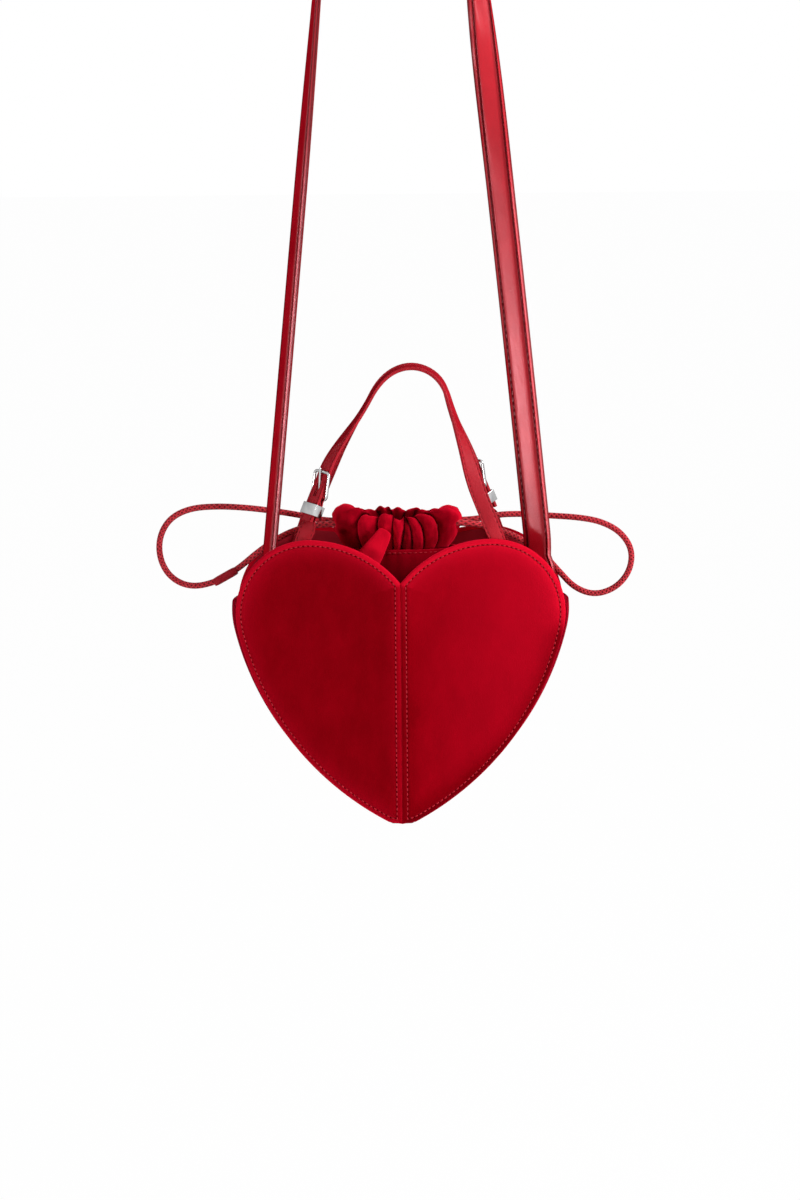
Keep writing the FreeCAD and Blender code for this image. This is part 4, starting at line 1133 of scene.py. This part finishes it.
def buckle_axes(along, lift):
    """Matrix from (across, out, up) about a place on the buckled leg to the purse."""
    spot, width, facing = buckle_station(along, lift)
    return lean_back @ Matrix.Translation(spot) @ Matrix((width, facing, bar_up)).transposed().to_4x4()


def cut_away(piece, low, high):
    """Takes the block between two corners of (across, out, up) about the buckle's bar out of a piece."""
    bpy.ops.object.select_all(action="DESELECT")
    bpy.ops.mesh.primitive_cube_add(size=1)
    block = bpy.context.object
    size = [b - a for a, b in zip(low, high)]
    middle = [(a + b) / 2 for a, b in zip(low, high)]
    block.data.transform(buckle_axes(HEEL, 0.0) @ Matrix.Translation(middle) @ Matrix.Diagonal((*size, 1)))
    recalculate_normals(block)
    apply_modifier(piece, "BOOLEAN", operation="DIFFERENCE", solver="EXACT", object=block)
    bpy.data.objects.remove(block)


cut_away(front_strap, *SLOT)
cut_away(front_billet, *NOTCH)

# %% Handle stitches
HANDLE_SEAM = HANDLE_W / 2 - 1.2 * MM
HANDLE_STITCH = (3.4 * MM, 2.0 * MM, 0.5 * MM)
SEWN_BILLET = 16
strap_rows = strip_rows(handle_stations, HANDLE_SEAM, (HANDLE_T / 2 - 0.1 * MM, -HANDLE_T / 2 + 0.1 * MM))
strap_stitches = stitch_row("front_handle_stitches", strap_rows, *HANDLE_STITCH)
billet_rows = strip_rows(billet_stations[:SEWN_BILLET], HANDLE_SEAM, (BILLET_T / 2 - 0.06 * MM,))
billet_stitches = stitch_row("front_billet_stitches", billet_rows, *HANDLE_STITCH)

# %% Copies for the back, and the sway of the limp handles
SWAY_PLAIN, SWAY_BUCKLED, SWAY_TOP = 20 * MM, 38 * MM, 97 * MM
SWAY_ASIDE, SWAY_TALLER = 7.6 * MM, 3.4 * MM
NARROW_LOW, NARROW_TOP, NARROWER = 40 * MM, 88 * MM, 0.12


def bending_piece(piece, finish, slot, stands_for):
    """Bakes a leather piece's place into its mesh, gives it its finish and hides the solids that it stands for."""
    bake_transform(piece)
    finish_piece(piece, finish, slot, stands_for)


def sway(piece, turn, way):
    """Lets a limp handle hang to one side above its buckle, a little narrower and taller at the crown."""
    to_handle = lean_back.inverted() @ turn
    to_world = to_handle.inverted()
    for vertex in piece.data.vertices:
        spot = to_handle @ vertex.co
        begin = SWAY_BUCKLED if spot.x < 0 else SWAY_PLAIN
        high = eased(limited((spot.z - begin) / (SWAY_TOP - begin)))
        narrow = eased(limited((spot.z - NARROW_LOW) / (NARROW_TOP - NARROW_LOW)))
        spot.x = spot.x * (1 - NARROWER * narrow) + way * SWAY_ASIDE * high
        spot.z += SWAY_TALLER * high
        vertex.co = to_world @ spot


for piece, finish, *solids in (
        (front_strap, handle_leather, "handle_strap", "right_handle_tab", "left_handle_tab"),
        (front_billet, handle_leather, "buckle_billet", "left_handle_tab", "right_handle_tab"),
        (strap_stitches, leather_thread), (billet_stitches, leather_thread)):
    behind = copied(piece, piece.name.replace("front", "back"), half_turn)
    for side, half, turn, way, covered in (("front", piece, Matrix.Identity(4), 1, solids[:2]),
                                           ("back", behind, half_turn, -1, solids[::2])):
        sway(half, turn, way)
        bending_piece(half, finish,
                      "handle_leather", [side + "_" + solid for solid in covered])

# %% [markdown]
# ## Keepers
# A keeper is a bright metal box without ends that holds the strap's tail against the billet. A cube loses its two
# ends, Solidify gives the wall, and a bevel rounds the edges so that they catch the light.

# %% Silver keepers
KEEPER_WALL = 0.9 * MM
KEEPER_ROOM = 0.3 * MM
KEEPER_ALONG = 15 * MM
KEEPER_HEIGHT = 7 * MM
stack_low, stack_high = -BILLET_T, STRAP_LIFT + HANDLE_T / 2
keeper_over = 2 * (KEEPER_ROOM + KEEPER_WALL)
keeper_size = (HANDLE_W + keeper_over, stack_high - stack_low + keeper_over, KEEPER_HEIGHT)
bpy.ops.object.select_all(action="DESELECT")
bpy.ops.mesh.primitive_cube_add(size=1)
front_keeper = bpy.context.object
front_keeper.name = "front_keeper_box"
bpy.ops.object.mode_set(mode="EDIT")
bpy.ops.mesh.select_mode(type="FACE")
bpy.ops.mesh.select_all(action="DESELECT")
bpy.ops.object.mode_set(mode="OBJECT")
for face in front_keeper.data.polygons:
    face.select = abs(face.normal.z) > 0.5
bpy.ops.object.mode_set(mode="EDIT")
bpy.ops.mesh.delete(type="ONLY_FACE")
bpy.ops.object.mode_set(mode="OBJECT")
front_keeper.data.transform(Matrix.Diagonal((*keeper_size, 1)))
apply_modifier(front_keeper, "SOLIDIFY", thickness=KEEPER_WALL, offset=-1, use_even_offset=True)
apply_modifier(front_keeper, "BEVEL", width=0.3 * MM, segments=3, limit_method="ANGLE")
bpy.ops.object.shade_smooth_by_angle(angle=math.radians(40))
front_keeper.data.transform(buckle_axes(KEEPER_ALONG, (stack_low + stack_high) / 2))
recalculate_normals(front_keeper)
back_keeper = copied(front_keeper, "back_keeper_box", half_turn)
dress(front_keeper, "keeper_front", silver, "silver_metal", "front_keeper")
dress(back_keeper, "keeper_back", silver, "silver_metal", "back_keeper")

# %% [markdown]
# ## The shoulder strap
# The long strap is padded between two sunk stitch lines, with flat rims outside them. Its left leg turns almost
# edge on to the front, the right one stays nearly face on, and both ends narrow to webs that are sewn inside
# the gussets. One strip runs the whole way.

# %% Shoulder strap stations
STRAP_FOOT = HALF_W - 19.5 * MM
SWING_H = LOBE_H + 30.5 * MM
ARCH_R = 34 * MM
STRAP_TOP = -1.5 * MM
LEFT_TURN, HIGH_TURN, RIGHT_TURN = (math.radians(angle) for angle in (64, 66, -12))
HIGH_SHARE = 0.45
swing = at(0, 0, SWING_H)
arch_rise = STRAP_TOP - ARCH_R - swing.z
strap_lean, strap_leg = tangent_leg(STRAP_FOOT, arch_rise, ARCH_R)


def turn_at(along, low, high):
    """Turn of a leg about its own line: slowly from its low turn to its high one, then to the arch."""
    if along < HIGH_SHARE * strap_leg:
        return low + (high - low) * along / (HIGH_SHARE * strap_leg)
    share = (along - HIGH_SHARE * strap_leg) / (strap_leg * (1 - HIGH_SHARE))
    return high + (QUARTER - high) * eased(share)


WEB_STEPS, LEG_STEPS, ARCH_STEPS = 12, 96, 40
SEWN_IN, SEWN_RISE = 3.4 * MM, 2.5 * MM
WEB_WIDTH, WEB_THICK, WEB_TWIST = 0.3, 0.53, 1.2
ASIDE, ASIDE_LESS = 4.2 * MM, 1.9 * MM


def strap_side(side, low, high):
    """Stations from the web's sewn foot, which twists as it widens, up one leg to the arch."""
    top, stations = swing + Vector((side * STRAP_FOOT, 0, 0)), []
    sewn = at(side * (HALF_W - SEWN_IN), 0, LOBE_H + SEWN_RISE)
    for k in range(WEB_STEPS):
        share = k / WEB_STEPS
        turn = low * eased(min(1, WEB_TWIST * share))
        spot, width, facing = leg_station(sewn.lerp(top, share), strap_lean, side, 0, turn)
        stations.append((spot, width * (WEB_WIDTH + (1 - WEB_WIDTH) * eased(share)),
                         facing * (WEB_THICK + (1 - WEB_THICK) * share)))
    for k in range(LEG_STEPS + 1):
        along = strap_leg * k / LEG_STEPS
        stations.append(leg_station(top, strap_lean, side, along, turn_at(along, low, high)))
    return stations


left_stations = strap_side(-1, LEFT_TURN, HIGH_TURN)
right_stations = strap_side(1, RIGHT_TURN, RIGHT_TURN)
arch = crown_stations(swing + Vector((0, 0, arch_rise)), ARCH_R, strap_lean, ARCH_STEPS)[1:-1]
strap_stations = right_stations + arch + left_stations[::-1]


def hangs_aside(spot):
    """The right leg hangs a little further out, most of all low down, and its sewn foot stays."""
    above = spot.z - swing.z
    above_foot, climb, over = (eased(limited(share)) for share in (
        above / (45 * MM) + 0.67, (above - 70 * MM) / (400 * MM), spot.x / (40 * MM) + 0.25))
    return Vector((above_foot * over * (ASIDE - ASIDE_LESS * climb), 0, 0))


strap_stations = [(spot + hangs_aside(spot), width, facing) for spot, width, facing in strap_stations]
print("strap legs %.1f mm, leaning %.2f degrees" % (strap_leg / MM, math.degrees(strap_lean)))

# %% Padded strap with its stitches
STRAP_FACE_MM = ((8.3, -1.35), (8.5, -1.1), (8.5, -0.75), (8.35, -0.4), (8.22, -0.29), (7.75, 0.1),
                 (7.62, 0.21), (6.98, 0.74), (6.85, 0.85), (6.55, 0.9), (6.3, 0.35), (5.6, 0.35), (5.4, 1.05),
                 (5.1, 1.3), (4.4, 1.42), (3.2, 1.48), (1.6, 1.5), (0.0, 1.5))
STRAP_BACK_MM = ((0.0, -1.5), (3.0, -1.5), (5.6, -1.5), (5.85, -1.35), (6.15, -1.35), (6.4, -1.5), (8.1, -1.5))
# Painted shade across the strap's face, in millimetres: dark in the stitch grooves, the outer one wider.
GROOVE_SHADE_MM = ((-6.9, 0), (-6.4, -1), (-5.5, -1), (-4.8, 0), (3.6, 0), (4.6, -0.7), (5.4, -1), (6.4, -1),
              (6.9, 0))
CUT_ACROSS, CUT_OUT, CUT_NAP = 7.7 * MM, -1.4 * MM, -0.9
STRAP_SEAM, STRAP_SEAM_OUTS = 5.95 * MM, (0.5 * MM, -1.38 * MM)
STRAP_STITCH = (4.3 * MM, 2.5 * MM, 1.0 * MM)
SEWN_WEB = 4


def strap_painted_shade(across, out):
    """Painted shade on the strap: the stitch lines on the face are darkened as shade in their grooves, the outer
    one more widely. The cut edges are darkened too, for their dark edge paint and the shade on them.
    """
    if abs(across) > CUT_ACROSS and out > CUT_OUT:
        return CUT_NAP
    if out < 0:
        return 0.0
    for (low, a), (high, b) in zip(GROOVE_SHADE_MM, GROOVE_SHADE_MM[1:]):
        if low <= across / MM <= high:
            return a + (b - a) * (across / MM - low) / (high - low)
    return 0.0


strap_profile = profile_mm(STRAP_BACK_MM, STRAP_FACE_MM)
shoulder = wrapped_strip("shoulder_strap_leather", strap_stations, strap_profile, strap_painted_shade)
free_stations = strap_stations[WEB_STEPS - SEWN_WEB:SEWN_WEB - WEB_STEPS]
seam_rows = strip_rows(free_stations, STRAP_SEAM, STRAP_SEAM_OUTS)
strap_seams = stitch_row("shoulder_strap_stitches", seam_rows, *STRAP_STITCH)
for piece, finish, *solids in (
        (shoulder, strap_leather, "shoulder_strap", "left_strap_anchor", "right_strap_anchor"),
        (strap_seams, leather_thread)):
    bending_piece(piece, finish,
                  "strap_leather", solids)

# %% Patches that hold the strap's ends
PATCH_SIZE = (1.6 * MM, 16 * MM, 13 * MM)
PATCH_IN, PATCH_DROP = 1.7 * MM, 2 * MM
for side, label in ((-1, "left"), (1, "right")):
    bpy.ops.object.select_all(action="DESELECT")
    bpy.ops.mesh.primitive_cube_add(size=1)
    patch = bpy.context.object
    patch.name = label + "_strap_patch"
    patch.data.transform(Matrix.Diagonal((*PATCH_SIZE, 1)))
    apply_modifier(patch, "BEVEL", width=0.4 * MM, segments=2)
    patch.data.transform(Matrix.Translation(at(side * (HALF_W - PATCH_IN), 0, LOBE_H - PATCH_DROP)))
    bpy.ops.object.shade_smooth_by_angle(angle=math.radians(40))
    dress(patch, "bag", strap_leather, "strap_leather")

# %% [markdown]
# ## The gathered pouch
# A velvet skirt is sewn inside the panels and rises to a seam, and above the seam the casing is drawn together
# by the cord. The skirt is a grid bent round the pouch: its foot follows the panels' flat inner faces, and its
# top is nearly an ellipse.

# %% Size of a cloth before it was gathered
def cloth_cut(place, across, along):
    """Longest ring and longest run of a cloth whose points are given by a function, in metres."""
    rows = [[place(u / across, v / along) for u in range(across + 1)] for v in range(along + 1)]
    rings = [line_length(row) for row in rows]
    runs = [line_length(run) for run in zip(*rows)]
    return max(rings), max(runs)


# %% Pouch skirt
SKIRT_LOW, SEAM_H = LOBE_H - 0.5 * MM, LOBE_H + 37.5 * MM
SKIRT_ROOM = COVER_STACK + LINING + 0.6 * MM
SKIRT_IN = 6 * MM
NECK_X, NECK_SIDE_Y, NECK_Y = 33.6 * MM, 11.9 * MM, 16.3 * MM
PUCKER, BILLOW = 0.3 * MM, 0.9 * MM
SKIRT_GRID = (288, 30)


def skirt_place(u, v):
    turn, spread = 2 * math.pi * u, 1 - v
    across, front = math.sin(turn), -math.cos(turn)
    half_x = NECK_X + (HALF_W - SKIRT_IN - NECK_X) * spread ** 1.9
    side_y = NECK_SIDE_Y + (panel_y(HALF_W - SKIRT_IN, SKIRT_ROOM) - NECK_SIDE_Y) * spread ** 1.5
    middle_y = NECK_Y + (panel_y(0, SKIRT_ROOM) - NECK_Y) * spread ** 1.4
    flat_y = side_y + (middle_y - side_y) * (1 - abs(across))
    angular = flat_y * (1 if front > 0 else -1) * min(1.0, abs(front) / 0.35)
    y = angular * spread + front * middle_y * v
    fold = PUCKER * v ** 3 * math.sin(23 * turn + 2 * math.sin(3 * turn))
    fold += BILLOW * math.sin(math.pi * v) * math.sin(5 * turn + 1.3)
    return at(across * (half_x + fold), y + front * fold, SKIRT_LOW + (SEAM_H - SKIRT_LOW) * v)


# Painted shade: the skirt's colour darkens towards its foot, with a little painted light at the seam.
skirt = shaped_grid("pouch_skirt_cloth", *SKIRT_GRID, skirt_place, lambda u, v: 0.1 - 1.15 * (1 - v) ** 0.6)
weld(skirt)
apply_modifier(skirt, "SOLIDIFY", thickness=1.2 * MM, offset=-1)
bpy.ops.object.shade_smooth()
dress(skirt, "bag", sheen_lit_pouch_velvet, "red_velvet", "pouch_skirt")
skirt_cut = cloth_cut(skirt_place, *SKIRT_GRID)

# %% [markdown]
# The casing's cloth runs up from the seam, rolls over at the rim and goes down inside. It is packed into
# gathers: wide round puffs at both ends, narrow ones that lean in the middle, and even ones behind. Each gather
# is listed with the turn where it starts at the rim and at the seam, its depth and how far its top stands from
# the common rim.

# %% Gathered casing
GATHERS = ((240, 241, 6.5, 2.0), (320, 317, 5.0, -3.5), (341, 344, 4.5, -2.0), (356, 356, 4.8, -5.0),
           (368, 364, 4.4, -8.0), (370, 377, 4.8, -4.6), (380, 391, 4.2, -2.6), (398, 408, 4.6, 0.6),
           (478, 478, 5.0, -2.0), (497, 499, 5.0, -3.0), (514, 512, 4.5, -2.0), (529, 531, 5.2, -3.0),
           (547, 545, 4.8, -1.5), (564, 566, 5.0, -3.0), (582, 580, 4.6, -2.0), (600, 601, 0, 0))
CASING = ((0.0, 0.80, 0.0, 0.45), (0.1, 0.85, 0.09, 0.7), (0.2, 0.92, 0.25, 0.95), (0.3, 0.975, 0.46, 1.05),
          (0.4, 1.0, 0.68, 1.05), (0.48, 0.975, 0.83, 1.0), (0.55, 0.91, 0.94, 0.85), (0.62, 0.80, 1.0, 0.6),
          (0.68, 0.70, 0.96, 0.4), (0.76, 0.63, 0.84, 0.2), (0.86, 0.59, 0.5, -0.1), (1.0, 0.58, 0.02, -0.2))
CASING_GRID = (24 * (len(GATHERS) - 1), 60)
CASING_X, CASING_Y, CASING_H = 39.5 * MM, 20.5 * MM, 24 * MM
CASING_SHIFT = -1.8 * MM
DENTS = ((-35, 174.5, 2.8), (-20.5, 172.5, 2.2))
DENT_WIDE = 3


def table_at(table, share):
    """Values of a table at a share of the way through it, on a smooth curve through its rows."""
    k = next(i for i in range(len(table) - 1) if share <= table[i + 1][0] + 1e-9)
    t = (share - table[k][0]) / (table[k + 1][0] - table[k][0])
    rows = [table[min(max(k + step, 0), len(table) - 1)] for step in (-1, 0, 1, 2)]
    return [0.5 * (2 * b + (c - a) * t + (2 * a - 5 * b + 4 * c - d) * t * t + (3 * b - a - 3 * c + d) * t ** 3)
            for a, b, c, d in zip(*[row[1:] for row in rows])]


def dent_gap(place, x, h):
    """Squared distance of a place from a dent, in dent widths."""
    return ((place.x / MM - x) ** 2 + ((place.z - TIP) / MM - h) ** 2) / DENT_WIDE ** 2


def gather_at(u):
    """Number of the gather at a share of the way round, and the place across it from -1 to 1."""
    spot = u * (len(GATHERS) - 1)
    k = min(int(spot + 1e-9), len(GATHERS) - 2)
    return k, 2 * (spot - k) - 1


def casing_place(u, v):
    k, share = gather_at(u)
    size, rise, deep = table_at(CASING, v)
    rim = limited(rise)
    start, end = (GATHERS[i][1] + (GATHERS[i][0] - GATHERS[i][1]) * rim for i in (k, k + 1))
    swell = math.cos(QUARTER * share)
    turn = math.radians((start + end) / 2 + (end - start) / 2 * math.sin(QUARTER * share))
    across, front = math.sin(turn), math.cos(turn)
    away = Vector((across / CASING_X, -front / CASING_Y, 0)).normalized()
    height = CASING_H + (GATHERS[k][3] * swell - 4.0 * (1 - swell)) * MM
    height += 1.6 * MM * noise.noise(Vector((9 * across, 9 * front, 0.5)))
    place = at(CASING_SHIFT + across * CASING_X * size, -front * CASING_Y * size, SEAM_H + rise * height)
    inward = GATHERS[k][2] * MM * deep * (1 - swell)
    inward += 0.7 * MM * noise.noise(place / (7 * MM)) * min(1, 3 * v)
    crumple = Vector((place.x / (3.4 * MM), place.y / (3.4 * MM), place.z / (7 * MM)))
    inward += 1.3 * MM * noise.noise(crumple) * math.sin(math.pi * min(1, 1.2 * v))
    if front > 0 and v < 0.6:
        for x, h, depth in DENTS:
            inward += depth * MM * math.exp(-dent_gap(place, x, h))
    return place - away * inward


def casing_painted_light(u, v):
    """Painted light and shade: painted highlights on the gathers, more on the left ones, and painted shade in the
    folds between them, the dents, the foot and the inside, with random tone.
    """
    k, share = gather_at(u)
    swell = math.cos(QUARTER * share)
    from_fold = (GATHERS[k + 1][0] - GATHERS[k][0]) / 2 * (1 - math.sin(QUARTER * abs(share)))
    place = casing_place(u, v)
    lit = (0.25 * swell + 0.35 * limited(-place.x / (30 * MM))) * swell + 0.3 * noise.noise(place / (4 * MM))
    pits = 0.0
    if place.y < 0 and v < 0.6:
        pits = sum(math.exp(-dent_gap(place, x, h)) for x, h, _ in DENTS)
    foot = max(0.0, 1 - v / 0.22)
    return lit - 1.1 * math.exp(-from_fold / 1.2) - 0.3 * foot - 0.8 * pits - (0.6 if v > 0.68 else 0.0)


casing = shaped_grid("pouch_casing_cloth", *CASING_GRID, casing_place, casing_painted_light)
weld(casing)
bpy.ops.object.shade_smooth()
dress(casing, "bag", sheen_lit_pouch_velvet, "red_velvet", "pouch_collar")
casing_cut = cloth_cut(casing_place, *CASING_GRID)

# %% [markdown]
# At the front, one pleat of the skirt stands out across the gathers and runs down behind the left lobe.

# %% Standing pleat
PLEAT_MM = ((-8.4, -20.5, 176.4, 3.6), (-9.4, -21.6, 175.0, 4.6), (-11.2, -23.0, 171.8, 5.2),
            (-14.0, -24.6, 167.4, 6.2), (-17.5, -26.2, 162.4, 7.4), (-22.0, -27.2, 156.0, 8.4),
            (-27.0, -27.0, 149.0, 9.0), (-31.0, -25.0, 144.0, 9.0))
PLEAT_WAY = Vector((0.78, -0.12, -0.6))
pleat_points = [at(x * MM, y * MM, h * MM) for x, y, h, _ in PLEAT_MM]
pleat_stations = []
for k, (*_, half) in enumerate(PLEAT_MM):
    ahead = pleat_points[min(k + 1, len(PLEAT_MM) - 1)] - pleat_points[max(k - 1, 0)]
    width = (PLEAT_WAY - ahead * (PLEAT_WAY.dot(ahead) / ahead.dot(ahead))).normalized()
    thick = width.cross(ahead).normalized() * (1.6 + 0.12 * half)
    pleat_stations.append((pleat_points[k], width * half, thick))
ROUND = [(math.cos(math.radians(15 * k)), math.sin(math.radians(15 * k))) for k in range(24)]
pleat_profile = [(math.copysign(abs(a) ** 0.7, a) * MM, math.copysign(abs(o) ** 0.8, o) * MM) for a, o in ROUND]
pleat = wrapped_strip("pouch_pleat", pleat_stations, pleat_profile)
apply_modifier(pleat, "SUBSURF", levels=2)
bpy.ops.object.shade_smooth()
# The standing pleat gets a painted highlight, with random tone.
paint_light_and_shade(pleat, lambda co: 0.75 + 0.45 * noise.noise(co / (6 * MM)))
dress(pleat, "bag", sheen_lit_pouch_velvet, "red_velvet")

# %% Seam under the gathers
SEAM_X, SEAM_Y, SEAM_DROP = 0.885 * CASING_X, 0.905 * CASING_Y, 1.7 * MM
SEAM_STITCH = (3.2 * MM, 2.3 * MM, 0.7 * MM)
seam_row = []
for k in range(181):
    turn = 2 * math.pi * k / 180
    across, front = math.sin(turn), math.cos(turn)
    spot = at(CASING_SHIFT + across * SEAM_X, -front * SEAM_Y, SEAM_H - SEAM_DROP)
    seam_row.append((spot, Vector((across / CASING_X, -front / CASING_Y, 0)).normalized()))
seam = stitch_row("casing_stitches", [seam_row], *SEAM_STITCH)
dress(seam, "bag", stitch_thread, "red_velvet")
